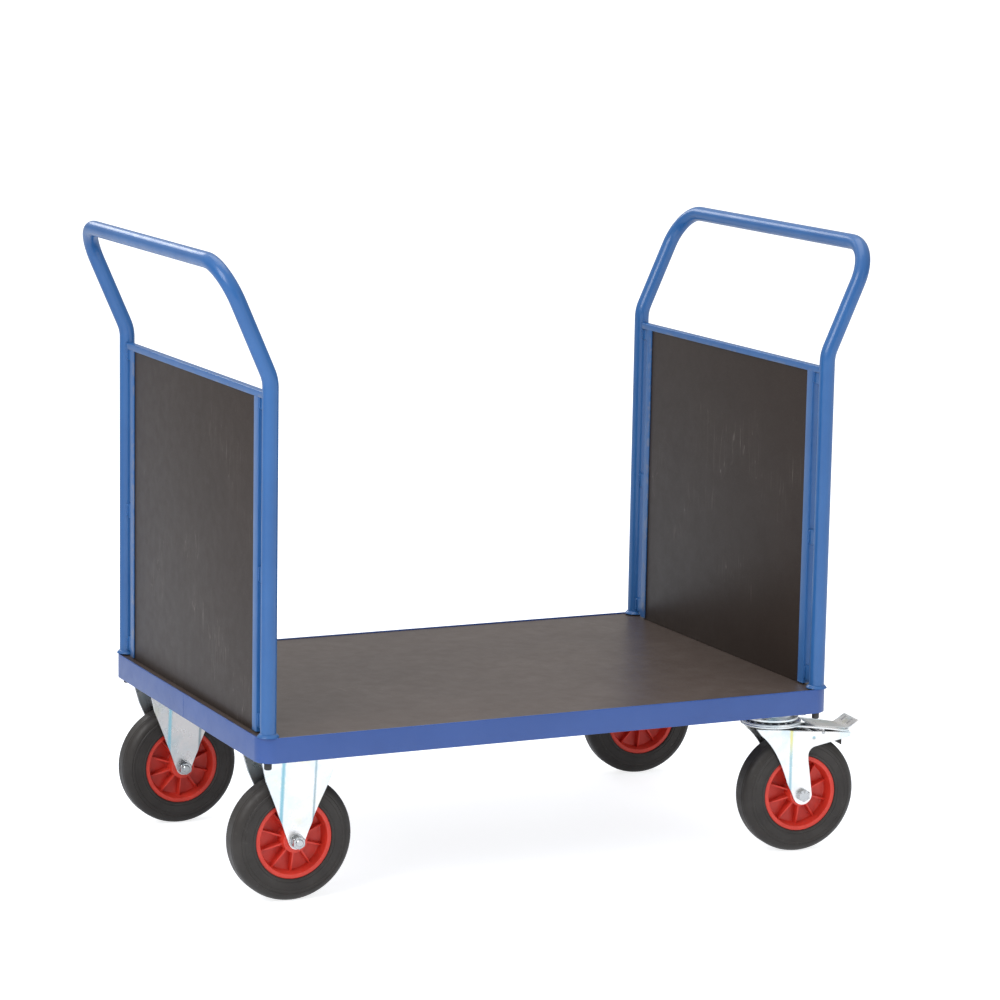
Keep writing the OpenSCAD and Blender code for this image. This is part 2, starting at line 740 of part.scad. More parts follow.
top_plate(-1);  // swivel_near_top_plate
kingpin(-1);  // swivel_near_kingpin
race_balls(-1);  // swivel_near_race_balls
at_swivel(-1) swivel_fork();  // swivel_near_fork
at_swivel(-1) brake_pin();  // swivel_near_brake_pin
at_swivel(-1) brake_pedal();  // swivel_near_brake_pedal
at_swivel(-1) brake_shoe();  // swivel_near_brake_shoe
swivel_wheel(-1) axle_bolt(1);  // swivel_near_axle_bolt
swivel_wheel(-1) axle_nut(1);  // swivel_near_axle_nut
swivel_wheel(-1) bush();  // swivel_near_bush
swivel_wheel(-1) wheel_centre();  // swivel_near_wheel_centre
swivel_wheel(-1) tyre();  // swivel_near_tyre
top_plate(1);  // swivel_far_top_plate
kingpin(1);  // swivel_far_kingpin
race_balls(1);  // swivel_far_race_balls
at_swivel(1) swivel_fork();  // swivel_far_fork
at_swivel(1) brake_pin();  // swivel_far_brake_pin
at_swivel(1) brake_pedal();  // swivel_far_brake_pedal
at_swivel(1) brake_shoe();  // swivel_far_brake_shoe
swivel_wheel(1) axle_bolt(1);  // swivel_far_axle_bolt
swivel_wheel(1) axle_nut(1);  // swivel_far_axle_nut
swivel_wheel(1) bush();  // swivel_far_bush
swivel_wheel(1) wheel_centre();  // swivel_far_wheel_centre
swivel_wheel(1) tyre();  // swivel_far_tyre
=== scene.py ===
import itertools
import bmesh
import bpy
import numpy as np
from mathutils import Matrix, Vector


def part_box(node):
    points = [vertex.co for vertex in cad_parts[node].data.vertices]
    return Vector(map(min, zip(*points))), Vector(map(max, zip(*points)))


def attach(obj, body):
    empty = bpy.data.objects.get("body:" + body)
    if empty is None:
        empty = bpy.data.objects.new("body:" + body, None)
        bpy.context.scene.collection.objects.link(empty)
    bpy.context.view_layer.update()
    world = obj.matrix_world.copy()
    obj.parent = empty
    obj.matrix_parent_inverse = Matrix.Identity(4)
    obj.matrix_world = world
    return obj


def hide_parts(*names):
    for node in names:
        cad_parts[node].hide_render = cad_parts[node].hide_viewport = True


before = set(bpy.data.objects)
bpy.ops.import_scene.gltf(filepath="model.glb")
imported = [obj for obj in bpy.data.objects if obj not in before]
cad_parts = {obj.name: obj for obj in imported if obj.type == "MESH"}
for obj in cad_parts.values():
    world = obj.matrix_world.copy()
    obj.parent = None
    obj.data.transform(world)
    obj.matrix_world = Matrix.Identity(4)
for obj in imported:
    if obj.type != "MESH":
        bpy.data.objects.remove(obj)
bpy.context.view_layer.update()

mm = 0.001
tau = 2 * np.pi

# shader groups


def newGroup(name, inputs, outputs):
    tree = bpy.data.node_groups.new(name, "ShaderNodeTree")
    for label, kind, value in inputs:
        socket = tree.interface.new_socket(label, in_out="INPUT", socket_type="NodeSocket" + kind)
        if value is not None:
            socket.default_value = value
    for label, kind in outputs:
        tree.interface.new_socket(label, in_out="OUTPUT", socket_type="NodeSocket" + kind)
    return tree, tree.nodes.new("NodeGroupInput"), tree.nodes.new("NodeGroupOutput")


# adds one node: settings are its properties, values its sockets' numbers, links its sockets' sources
def addNode(tree, kind, values=None, links=None, **settings):
    node = tree.nodes.new("ShaderNode" + kind)
    for key, value in settings.items():
        setattr(node, key, value)
    for key, value in (values or {}).items():
        node.inputs[key].default_value = value
    for key, source in (links or {}).items():
        tree.links.new(source, node.inputs[key])
    return node


# a node's output times a number or times another node's output
def times(tree, source, factor):
    fixed = isinstance(factor, float)
    node = addNode(tree, "Math", {1: factor} if fixed else {}, {0: source}, operation="MULTIPLY")
    if not fixed:
        tree.links.new(factor, node.inputs[1])
    return node.outputs[0]


# soft blotches on Object coordinates, from 0 to 1
def makeCloudGroup():
    tree, gin, gout = newGroup("softClouds",
                               [("Scale", "Float", 20.0), ("Low", "Float", 0.35), ("High", "Float", 0.65)],
                               [("Mask", "Float")])
    place = addNode(tree, "TexCoord").outputs["Object"]
    noise = addNode(tree, "TexNoise", {"Detail": 6.0, "Roughness": 0.6},
                    {"Vector": place, "Scale": gin.outputs["Scale"]})
    spread = addNode(tree, "MapRange", {}, {"Value": noise.outputs["Fac"], "From Min": gin.outputs["Low"],
                                            "From Max": gin.outputs["High"]})
    tree.links.new(spread.outputs["Result"], gout.inputs["Mask"])
    return tree


# long thin marks: a stretched noise whose narrow band is kept, broken up by a second noise
def makeScratchGroup():
    tree, gin, gout = newGroup("fineScratches", [("Turn", "Float", 0.3), ("Stretch", "Float", 40.0),
                                                 ("Scale", "Float", 6.0), ("Width", "Float", 0.012)],
                               [("Mask", "Float")])
    place = addNode(tree, "TexCoord").outputs["Object"]
    turn = addNode(tree, "VectorRotate", {}, {"Vector": place, "Angle": gin.outputs["Turn"]},
                   rotation_type="Z_AXIS")
    axes = addNode(tree, "CombineXYZ", {"X": 1.0, "Z": 1.0}, {"Y": gin.outputs["Stretch"]})
    stretched = addNode(tree, "VectorMath", {}, {0: turn.outputs[0], 1: axes.outputs[0]},
                        operation="MULTIPLY")
    noise = addNode(tree, "TexNoise", {"Detail": 2.0, "Roughness": 0.4},
                    {"Vector": stretched.outputs[0], "Scale": gin.outputs["Scale"]})
    off = addNode(tree, "Math", {1: 0.5}, {0: noise.outputs["Fac"]}, operation="SUBTRACT")
    size = addNode(tree, "Math", {}, {0: off.outputs[0]}, operation="ABSOLUTE")
    line = addNode(tree, "MapRange", {"From Min": 0.0, "To Min": 1.0, "To Max": 0.0},
                   {"Value": size.outputs[0], "From Max": gin.outputs["Width"]})
    patch = addNode(tree, "TexNoise", {"Scale": 9.0, "Detail": 2.0}, {"Vector": place})
    keep = addNode(tree, "MapRange", {"From Min": 0.55, "From Max": 0.68}, {"Value": patch.outputs["Fac"]})
    tree.links.new(times(tree, line.outputs[0], keep.outputs[0]), gout.inputs["Mask"])
    return tree


# dust that lies on what faces up, thinned by a noise
def makeDustGroup():
    tree, gin, gout = newGroup("restingDust", [("Scale", "Float", 60.0), ("Amount", "Float", 0.3)],
                               [("Mask", "Float")])
    shape = addNode(tree, "NewGeometry")
    up = addNode(tree, "SeparateXYZ", {}, {"Vector": shape.outputs["Normal"]})
    facing = addNode(tree, "MapRange", {"From Min": 0.2, "From Max": 1.0}, {"Value": up.outputs["Z"]})
    place = addNode(tree, "TexCoord").outputs["Object"]
    noise = addNode(tree, "TexNoise", {"Detail": 8.0, "Roughness": 0.7},
                    {"Vector": place, "Scale": gin.outputs["Scale"]})
    spread = addNode(tree, "MapRange", {"From Min": 0.4, "From Max": 0.75}, {"Value": noise.outputs["Fac"]})
    lying = times(tree, facing.outputs[0], spread.outputs[0])
    tree.links.new(times(tree, lying, gin.outputs["Amount"]), gout.inputs["Mask"])
    return tree


# convex edges, from the surface's pointiness, broken up by a noise
def makeWearGroup():
    tree, gin, gout = newGroup("rubbedEdges",
                               [("Start", "Float", 0.53), ("End", "Float", 0.58), ("Scale", "Float", 90.0)],
                               [("Mask", "Float")])
    shape = addNode(tree, "NewGeometry")
    edge = addNode(tree, "MapRange", {},
                   {"Value": shape.outputs["Pointiness"], "From Min": gin.outputs["Start"],
                    "From Max": gin.outputs["End"]})
    place = addNode(tree, "TexCoord").outputs["Object"]
    noise = addNode(tree, "TexNoise", {"Detail": 5.0}, {"Vector": place, "Scale": gin.outputs["Scale"]})
    spread = addNode(tree, "MapRange", {"From Min": 0.5, "From Max": 0.62}, {"Value": noise.outputs["Fac"]})
    tree.links.new(times(tree, edge.outputs[0], spread.outputs[0]), gout.inputs["Mask"])
    return tree


groups = {"clouds": makeCloudGroup(), "scratches": makeScratchGroup(), "dust": makeDustGroup(),
          "wear": makeWearGroup()}


print("shader groups made")


# materials


def placeGroup(tree, name, values):
    node = tree.nodes.new("ShaderNodeGroup")
    node.node_tree = groups[name]
    for key, value in values.items():
        node.inputs[key].default_value = value
    return node.outputs["Mask"]


# low where the mask is 0, high where it is 1; each is a colour or another node's output
def mixColour(tree, mask, low, high):
    node = addNode(tree, "Mix", links={"Factor": mask}, data_type="RGBA")
    for key, value in (("A", low), ("B", high)):
        socket = [s for s in node.inputs if s.name == key and s.type == "RGBA"][0]
        if isinstance(value, tuple):
            socket.default_value = (*value, 1)
        else:
            tree.links.new(value, socket)
    return [s for s in node.outputs if s.type == "RGBA"][0]


def mixValue(tree, mask, low, high):
    node = addNode(tree, "MapRange", {"From Min": 0.0, "From Max": 1.0, "To Min": low, "To Max": high},
                   {"Value": mask})
    return node.outputs["Result"]


def newMaterial(name, metallic=0.0, ior=1.5, coat=0.0, coatRough=0.1, specular=0.5):
    material = bpy.data.materials.new(name)
    material.use_nodes = True
    tree = material.node_tree
    shader = tree.nodes["Principled BSDF"]
    shader.inputs["Metallic"].default_value = metallic
    shader.inputs["IOR"].default_value = ior
    shader.inputs["Coat Weight"].default_value = coat
    shader.inputs["Coat Roughness"].default_value = coatRough
    shader.inputs["Specular IOR Level"].default_value = specular
    return material, tree, shader


# joins the colour, and a roughness that drifts from smooth to matt with soft blotches
def dress(tree, shader, colour, scale, smooth, matt):
    tree.links.new(colour, shader.inputs["Base Color"])
    blotch = placeGroup(tree, "clouds", {"Scale": scale})
    tree.links.new(mixValue(tree, blotch, smooth, matt), shader.inputs["Roughness"])


# fine unevenness: a noise on Object coordinates, raised by distance in metres
def addGrain(tree, shader, scale, detail, rough, strength, distance):
    place = addNode(tree, "TexCoord").outputs["Object"]
    noise = addNode(tree, "TexNoise", {"Scale": scale, "Detail": detail, "Roughness": rough},
                    {"Vector": place})
    bump = addNode(tree, "Bump", {"Strength": strength, "Distance": distance},
                   {"Height": noise.outputs["Fac"]})
    tree.links.new(bump.outputs["Normal"], shader.inputs["Normal"])


# tones are a finish's two base colours; drift is the scale, smooth end and matt end of its roughness;
# grain is the scale, detail, roughness, strength and distance of its bumps
paintSettings = {"rimTones": ((0.018, 0.064, 0.25), (0.024, 0.077, 0.285)),
                 "tubeTones": ((0.018, 0.098, 0.29), (0.024, 0.116, 0.325)),
                 "rub": (0.10, 0.15, 0.27), "coat": 0.25, "coatRough": 0.10, "specular": 0.38,
                 "drift": (30.0, 0.28, 0.38), "grain": (420.0, 3.0, 0.45, 0.12, 0.0006)}


def makePaint(name, tones):
    p = paintSettings
    material, tree, shader = newMaterial(name, coat=p["coat"], coatRough=p["coatRough"],
                                         specular=p["specular"])
    colour = mixColour(tree, placeGroup(tree, "clouds", {"Scale": 7.0}), *tones)
    wear = placeGroup(tree, "wear", {"Start": 0.56, "End": 0.64, "Scale": 60.0})
    dress(tree, shader, mixColour(tree, wear, colour, p["rub"]), *p["drift"])
    addGrain(tree, shader, *p["grain"])
    return material


# lines are the turn and stretch of the two sets of fine scratches
# the end boards' tones are the deck's tones darkened: painted shade on the upright faces
boardSettings = {"deckTones": ((0.070, 0.051, 0.043), (0.081, 0.060, 0.051)),
                 "shadedPanelTones": ((0.026, 0.0172, 0.0132), (0.030, 0.0205, 0.016)),
                 "scratch": (0.26, 0.23, 0.21), "dust": (0.33, 0.31, 0.29), "specular": 0.30,
                 "lines": ((0.0, 30.0), (1.1, 22.0)), "faint": 0.35,
                 "grain": (700.0, 4.0, 0.6, 0.18, 0.0004)}


# the brown film on the faces: blotches, fine specks, faint scratches and a little dust
def makeBoard(name, tones, scratchTurn, rough):
    p = boardSettings
    material, tree, shader = newMaterial(name, specular=p["specular"])
    colour = mixColour(tree, placeGroup(tree, "clouds", {"Scale": 9.0, "Low": 0.3, "High": 0.7}), *tones)
    speck = addNode(tree, "TexNoise", {"Scale": 900.0, "Detail": 2.0},
                    {"Vector": addNode(tree, "TexCoord").outputs["Object"]})
    speckMask = addNode(tree, "MapRange", {"From Min": 0.62, "From Max": 0.78, "To Max": 0.25},
                        {"Value": speck.outputs["Fac"]})
    colour = mixColour(tree, speckMask.outputs["Result"], colour, p["scratch"])
    for turn, stretch in p["lines"]:
        marks = placeGroup(tree, "scratches", {"Turn": scratchTurn + turn, "Stretch": stretch,
                                               "Scale": 5.0, "Width": 0.006})
        colour = mixColour(tree, times(tree, marks, p["faint"]), colour, p["scratch"])
    dust = placeGroup(tree, "dust", {"Scale": 35.0, "Amount": 0.06})
    dress(tree, shader, mixColour(tree, dust, colour, p["dust"]), 45.0, rough, rough + 0.05)
    addGrain(tree, shader, *p["grain"])
    return material


rubberSettings = {"tones": ((0.028, 0.0245, 0.0225), (0.039, 0.035, 0.032)), "dust": (0.16, 0.15, 0.145),
                  "specular": 0.28, "drift": (60.0, 0.36, 0.50), "grain": (900.0, 3.0, 0.5, 0.15, 0.0004)}


def makeRubber(name, amount):
    p = rubberSettings
    material, tree, shader = newMaterial(name, specular=p["specular"])
    colour = mixColour(tree, placeGroup(tree, "clouds", {"Scale": 25.0}), *p["tones"])
    scuff = placeGroup(tree, "clouds", {"Scale": 110.0, "Low": 0.62, "High": 0.85})
    dress(tree, shader, mixColour(tree, times(tree, scuff, amount), colour, p["dust"]), *p["drift"])
    addGrain(tree, shader, *p["grain"])
    return material


plasticSettings = {"tones": ((0.68, 0.046, 0.026), (0.57, 0.032, 0.018)), "dust": (0.55, 0.30, 0.27),
                   "specular": 0.45, "depth": 0.06, "depthReach": (0.004, 0.001, 0.001),
                   "drift": (80.0, 0.36, 0.48), "grain": (1200.0, 2.0, 0.5, 0.10, 0.0003)}


def makeRedPlastic():
    p = plasticSettings
    material, tree, shader = newMaterial("redMouldedPlastic", specular=p["specular"])
    colour = mixColour(tree, placeGroup(tree, "clouds", {"Scale": 35.0}), *p["tones"])
    dust = placeGroup(tree, "dust", {"Scale": 140.0, "Amount": 0.12})
    dress(tree, shader, mixColour(tree, dust, colour, p["dust"]), *p["drift"])
    shader.inputs["Subsurface Weight"].default_value = p["depth"]
    shader.inputs["Subsurface Radius"].default_value = p["depthReach"]
    addGrain(tree, shader, *p["grain"])
    return material


# crease is the colour of the painted shade along the pressed bends
zincSettings = {"base": (0.80, 0.79, 0.785), "bolt": (0.46, 0.47, 0.48), "blue": (0.46, 0.62, 0.68),
                "yellow": (0.74, 0.70, 0.46), "dull": (0.55, 0.56, 0.56), "crease": (0.20, 0.42, 0.50),
                "straw": (0.70, 0.64, 0.16), "grain": (520.0, 3.0, 0.5, 0.08, 0.0003)}


# passivated zinc: pale metal with drifting blue and straw tints and fine dull spangle
def makeZinc(name, rough, tint, base="base"):
    p = zincSettings
    material, tree, shader = newMaterial(name, metallic=1.0)
    colour = p[base]
    for tone, scale, low, high, amount in (("blue", 14.0, 0.45, 0.72, tint),
                                           ("yellow", 21.0, 0.56, 0.74, tint * 0.8),
                                           ("dull", 260.0, 0.55, 0.8, 0.35)):
        blotch = placeGroup(tree, "clouds", {"Scale": scale, "Low": low, "High": high})
        colour = mixColour(tree, times(tree, blotch, amount), colour, p[tone])
    # painted shade along the bends and in the dimple (crease), a dark blue-grey, and a straw plating tint
    # where the plating ran into the upper bends (straw), carried by the sheets' own point values
    for mark in ("crease", "straw"):
        amount = addNode(tree, "Attribute", attribute_name=mark).outputs["Fac"]
        colour = mixColour(tree, amount, colour, p[mark])
    dress(tree, shader, colour, 55.0, rough, rough + 0.12)
    addGrain(tree, shader, *p["grain"])
    return material


smallPlasticSettings = {"cap": ((0.012, 0.012, 0.013), (0.022, 0.022, 0.023)),
                        "nylon": ((0.72, 0.70, 0.64), (0.78, 0.77, 0.72)),
                        "grain": (900.0, 2.0, 0.5, 0.1, 0.0002)}


def makeSmallPlastic(name, tones, rough):
    material, tree, shader = newMaterial(name)
    colour = mixColour(tree, placeGroup(tree, "clouds", {"Scale": 60.0}), *tones)
    dress(tree, shader, colour, 120.0, rough, rough + 0.15)
    addGrain(tree, shader, *smallPlasticSettings["grain"])
    return material


materials = {
    "rimPaint": makePaint("bluePowderCoatRim", paintSettings["rimTones"]),
    "tubePaint": makePaint("bluePowderCoatTube", paintSettings["tubeTones"]),
    "deck": makeBoard("deckBoardFilm", boardSettings["deckTones"], 0.25, 0.34),
    # painted shade: the end boards take darker tones than the deck's same board
    "panel": makeBoard("endBoardFilmShaded", boardSettings["shadedPanelTones"], 0.9, 0.40),
    "rubber": makeRubber("tyreRubber", 0.25),
    "shoe": makeRubber("shoeRubber", 0.5),
    "red": makeRedPlastic(),
    "pressing": makeZinc("zincPressing", 0.24, 0.75),
    "fastener": makeZinc("zincFastener", 0.20, 0.20, "bolt"),
    "ball": makeZinc("bearingSteel", 0.12, 0.05),
    "cap": makeSmallPlastic("blackCapPlastic", smallPlasticSettings["cap"], 0.35),
    "nylon": makeSmallPlastic("naturalNylon", smallPlasticSettings["nylon"], 0.4),
}
print("materials made:", len(materials))


# mesh helpers


# quads of a rows x columns grid of points, numbered row by row
def gridFaces(rows, columns, closeRows=False, closeColumns=False):
    i = np.arange(rows if closeRows else rows - 1)[:, None]
    j = np.arange(columns if closeColumns else columns - 1)[None, :]
    i2, j2 = (i + 1) % rows, (j + 1) % columns
    quads = np.stack([i * columns + j, i * columns + j2, i2 * columns + j2, i2 * columns + j], axis=-1)
    return quads.reshape(-1, 4)


# parts is a list of (points in mm, faces); a face list holds an array of quads and plain polygons
def makePiece(name, parts, material, body, replaced=(), bevel=None, thickness=None, autoSmooth=40.0):
    points, faces, count = [], [], 0
    for vertices, polygons in parts:
        points.append(np.asarray(vertices, dtype=float).reshape(-1, 3))
        for block in polygons:
            faces.extend((np.asarray(block) + count).tolist()
                         if np.ndim(block) == 2 else [(np.asarray(block) + count).tolist()])
        count += len(points[-1])
    mesh = bpy.data.meshes.new(name)
    mesh.from_pydata((np.concatenate(points) * mm).tolist(), [], faces)
    mesh.validate()
    piece = bpy.data.objects.new(name, mesh)
    bpy.context.scene.collection.objects.link(piece)
    mesh.materials.append(materials[material])
    mesh.polygons.foreach_set("use_smooth", np.ones(len(mesh.polygons), dtype=bool))
    if thickness:
        shell = piece.modifiers.new("sheetThickness", "SOLIDIFY")
        shell.thickness, shell.offset, shell.use_even_offset = thickness * mm, -1.0, True
    if bevel:
        soften = piece.modifiers.new("softEdges", "BEVEL")
        soften.width, soften.segments, soften.limit_method = bevel * mm, 2, "ANGLE"
        soften.angle_limit, soften.use_clamp_overlap = np.radians(35), True
    if autoSmooth:
        mesh.set_sharp_from_angle(angle=np.radians(autoSmooth))
    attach(piece, body)
    if replaced:
        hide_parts(*replaced)
    return piece


# stores one number for each point, repeated for each of the piece's equal parts
def markPoints(piece, mark, values):
    held = piece.data.attributes.new(mark, "FLOAT", "POINT")
    copies = len(piece.data.vertices) // values.size
    held.data.foreach_set("value", np.tile(values.ravel(), copies).astype(np.float32))


# points centre + radius (cos a, sin a) for a from start to end, in degrees
def arcPoints(centre, radius, start, end, steps):
    a = np.radians(np.linspace(start, end, steps))
    return np.stack([centre[0] + radius * np.cos(a), centre[1] + radius * np.sin(a)], axis=1)


# the quadratic curve (1-t)^2 start + 2 t (1-t) pull + t^2 end
def softTurn(t, start, pull, end):
    return (1 - t) ** 2 * start + 2 * t * (1 - t) * pull + t ** 2 * end


# rounds every corner of a closed outline: a corner P between unit directions u and w becomes
# the soft turn from P + r u to P + r w, pulled to P
def roundOff(outline, radius, steps=4):
    p = np.asarray(outline, dtype=float)
    r = np.broadcast_to(np.asarray(radius, dtype=float), (len(p),))[:, None]
    before, after = np.roll(p, 1, axis=0) - p, np.roll(p, -1, axis=0) - p
    before /= np.linalg.norm(before, axis=1)[:, None]
    after /= np.linalg.norm(after, axis=1)[:, None]
    t = np.linspace(0, 1, steps)[None, :, None]
    return softTurn(t, (p + r * before)[:, None], p[:, None], (p + r * after)[:, None]).reshape(-1, 2)


# a profile of (radius, height) turned about Z: point = (r cos a, r sin a, h)
def turnProfile(profile, sides):
    a = np.linspace(0, tau, sides, endpoint=False)[:, None]
    r, h = np.asarray(profile, dtype=float).T
    grid = np.stack([r * np.cos(a), r * np.sin(a), np.broadcast_to(h, (sides, len(h)))], axis=-1)
    return grid.reshape(-1, 3)


# the two polygons that close a turned grid, at the first and the last of its n points
def turnedCaps(sides, n):
    return [np.arange(sides)[::-1] * n, np.arange(sides) * n + n - 1]


# the two polygons that close a section of n points carried along a path of rows
def carriedCaps(rows, n):
    return [np.arange(n)[::-1], (rows - 1) * n + np.arange(n)]


# a closed profile turned about an axis, which the function around puts in place
def revolve(profile, around, sides=96):
    return around(turnProfile(profile, sides)), [gridFaces(sides, len(profile), True, True)]


# an open profile from near the axis to near the axis, turned about it, with an n-gon at each end
def domed(profile, around, sides=48):
    n = len(profile)
    return around(turnProfile(profile, sides)), [gridFaces(sides, n, True, False), *turnedCaps(sides, n)]


# a hexagon block: radius(a) = (af/2) / cos(a within its 60 degree side), cut by a cone at each face
def hexBlock(acrossFlats, low, high, around, chamfer=1.2, bore=None, sides=96):
    a = np.linspace(0, tau, sides, endpoint=False)
    flat = acrossFlats / 2 / np.cos((a + np.pi / 6) % (np.pi / 3) - np.pi / 6)
    corner = acrossFlats / 2 / np.cos(np.pi / 6)
    heights = np.array([low, low, low + chamfer * 0.5, low + chamfer, high - chamfer, high - chamfer * 0.5,
                        high, high])
    caps = corner - chamfer * 1.6 * np.array([1.0, 1.0, 0.45, 0.0, 0.0, 0.45, 1.0, 1.0])
    r = np.minimum(flat[:, None], caps[None, :])
    r[:, [0, -1]] = bore or 0.6
    grid = np.stack([r * np.cos(a)[:, None], r * np.sin(a)[:, None], np.broadcast_to(heights, r.shape)],
                    axis=-1)
    n = len(heights)
    faces = [gridFaces(sides, n, True, bool(bore))]
    if not bore:
        faces += turnedCaps(sides, n)
    return around(grid.reshape(-1, 3)), faces


# a plate: the outline at offset e(s) inwards and height z(s), s round a quarter circle at both faces
def prism(outline, low, high, edge=0.8, steps=4, to3d=None):
    p = np.asarray(outline, dtype=float)
    along = np.roll(p, -1, axis=0) - np.roll(p, 1, axis=0)
    along /= np.linalg.norm(along, axis=1)[:, None]
    inward = np.stack([-along[:, 1], along[:, 0]], axis=1)
    s = np.linspace(0, np.pi / 2, steps)
    offset = np.concatenate([edge * (1 - np.sin(s)), edge * (1 - np.cos(s))])
    height = np.concatenate([low + edge * (1 - np.cos(s)), high - edge * (1 - np.sin(s))])
    grid = np.concatenate([p[:, None] + inward[:, None] * offset[None, :, None],
                           np.broadcast_to(height[None, :, None], (len(p), len(height), 1))], axis=-1)
    n = len(height)
    points = grid.reshape(-1, 3)
    faces = [gridFaces(len(p), n, True, False), *turnedCaps(len(p), n)]
    return (to3d(points) if to3d else points), faces


# a rectangle whose corners are arcs: corner centre + radius (cos a, sin a)
def roundedRect(length, width, radius, centre=(0, 0), steps=8):
    half = np.array([length / 2 - radius, width / 2 - radius])
    corners = [arcPoints(np.array(centre) + half * sign, radius, start, start + 90, steps)
               for sign, start in (((1, 1), 0), ((-1, 1), 90), ((-1, -1), 180), ((1, -1), 270))]
    return np.concatenate(corners)


# a circle carried along a path: point = path(s) + r(s) (cos a N + sin a B), with N square to the path
# and to the direction ring
def sweepCircle(path, radius, sides=32, ring=None):
    path = np.asarray(path, dtype=float)
    tangent = np.gradient(path, axis=0)
    tangent /= np.linalg.norm(tangent, axis=1)[:, None]
    side = np.cross(tangent, np.broadcast_to(ring if ring is not None else (0.0, 0.0, 1.0), tangent.shape))
    side /= np.linalg.norm(side, axis=1)[:, None]
    other = np.cross(side, tangent)
    a = np.linspace(0, tau, sides, endpoint=False)[None, :, None]
    r = np.broadcast_to(np.asarray(radius, dtype=float), (len(path),))[:, None, None]
    grid = path[:, None] + r * (np.cos(a) * side[:, None] + np.sin(a) * other[:, None])
    n = len(path)
    return grid.reshape(-1, 3), [gridFaces(n, sides, False, True), np.arange(sides),
                                 (n - 1) * sides + np.arange(sides)[::-1]]


# points every face outwards on a closed piece
def fixNormals(piece):
    work = bmesh.new()
    work.from_mesh(piece.data)
    bmesh.ops.remove_doubles(work, verts=work.verts, dist=1e-6)
    bmesh.ops.recalc_face_normals(work, faces=work.faces)
    work.to_mesh(piece.data)
    work.free()
    piece.data.set_sharp_from_angle(angle=np.radians(40))
    return piece


# places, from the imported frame

rimLow, rimHigh = (np.array(v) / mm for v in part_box("chassis_rim"))
deckLow, deckHigh = (np.array(v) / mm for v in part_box("deck_panel"))
platform = {"length": rimHigh[0] - rimLow[0], "width": rimHigh[1] - rimLow[1],
            "bottom": rimLow[2], "top": rimHigh[2], "ledgeTop": deckLow[2],
            "corner": 28.0, "thick": 3.0, "ledge": 12.0, "ledgeThick": 3.0, "edge": 1.3,
            "seam": 1.75, "seamIn": 1.4}


# moves points from a castor's own frame: turned about Z, then shifted to (x, y, z)
def turnAbout(x, y, z, degrees=0.0):
    c, s = np.cos(np.radians(degrees)), np.sin(np.radians(degrees))
    turn = np.array([[c, -s, 0], [s, c, 0], [0, 0, 1]])
    return lambda points: np.asarray(points) @ turn.T + np.array([x, y, z])


# takes an axis along Z to +Y: (x, y, z) becomes (x, z, -y)
def alongY(points):
    p = np.asarray(points)
    return np.stack([p[:, 0], p[:, 2], -p[:, 1]], axis=1)


# one move made of several, in order
def chain(*moves):
    def run(points):
        for move in moves:
            points = move(points)
        return points
    return run


# platform


# points round the rim at each inward offset: corner centre + (R - offset)(cos a, sin a)
def rimLoop(offset):
    steps = 14
    half = np.array([platform["length"] / 2 - platform["corner"], platform["width"] / 2 - platform["corner"]])
    signs = np.repeat(np.array([[1, 1], [-1, 1], [-1, -1], [1, -1]]), steps, axis=0)
    a = np.radians(np.concatenate([np.linspace(s, s + 90, steps) for s in (0, 90, 180, 270)]))
    radius = platform["corner"] - np.asarray(offset)[None, :, None]
    return (signs * half)[:, None] + radius * np.stack([np.cos(a), np.sin(a)], axis=1)[:, None]


def buildRim():
    t, e = platform["thick"], platform["edge"]
    low, high, shelf = platform["bottom"], platform["top"], platform["ledgeTop"]
    section = [(0, low), (t, low), (t, shelf - platform["ledgeThick"]),
               (t + platform["ledge"], shelf - platform["ledgeThick"]),
               (t + platform["ledge"], shelf), (t, shelf), (t, high), (0, high)]
    section = roundOff(section, [e, e, 0.4, 0.6, 0.6, 0.4, 1.2, 1.4], 5)
    loop = rimLoop(section[:, 0])
    grid = np.concatenate([loop, np.broadcast_to(section[None, :, 1:2], (len(loop), len(section), 1))],
                          axis=-1)
    parts = [(grid.reshape(-1, 3), [gridFaces(len(loop), len(section), True, True)])]
    # the weld seam in the middle of each end, a low bead dressed nearly flush
    z = np.linspace(low + 2, high - 2, 30)
    wave = 0.35 * np.sin(z * 1.9) + 0.2 * np.sin(z * 4.7)
    for sign in (-1, 1):
        middle = sign * (platform["length"] / 2 - platform["seamIn"])
        path = np.stack([np.full_like(z, middle), wave, z], axis=1)
        parts.append(sweepCircle(path, platform["seam"], 12, (1.0, 0.0, 0.0)))
    return fixNormals(makePiece("platformRim", parts, "rimPaint", "chassis", ["chassis_rim"]))


def buildDeck():
    half = (deckHigh - deckLow)[:2]
    outline = roundedRect(half[0], half[1], platform["corner"] - platform["thick"] - 0.5)
    makePiece("deckBoard", [prism(outline, deckLow[2], deckHigh[2], 0.6)], "deck", "chassis",
              ["deck_panel"])


buildRim()
buildDeck()
print("platform built")


# ends

endFrame = {"tube": 12.5, "lean": 24.0, "bend": 60.0, "corner": 65.0, "inX": 18.5, "inY": 15.5,
            "barRise": 724.0, "barLean": 78.0, "collar": 17.25, "collarHigh": 5.5,
            "railTop": 528.0, "rail": 10.0, "railThick": 13.0, "board": 9.0,
            "stripIn": 273.0, "stripOut": 291.0, "bite": 7.0, "tabHigh": 24.0, "cap": 6.0}


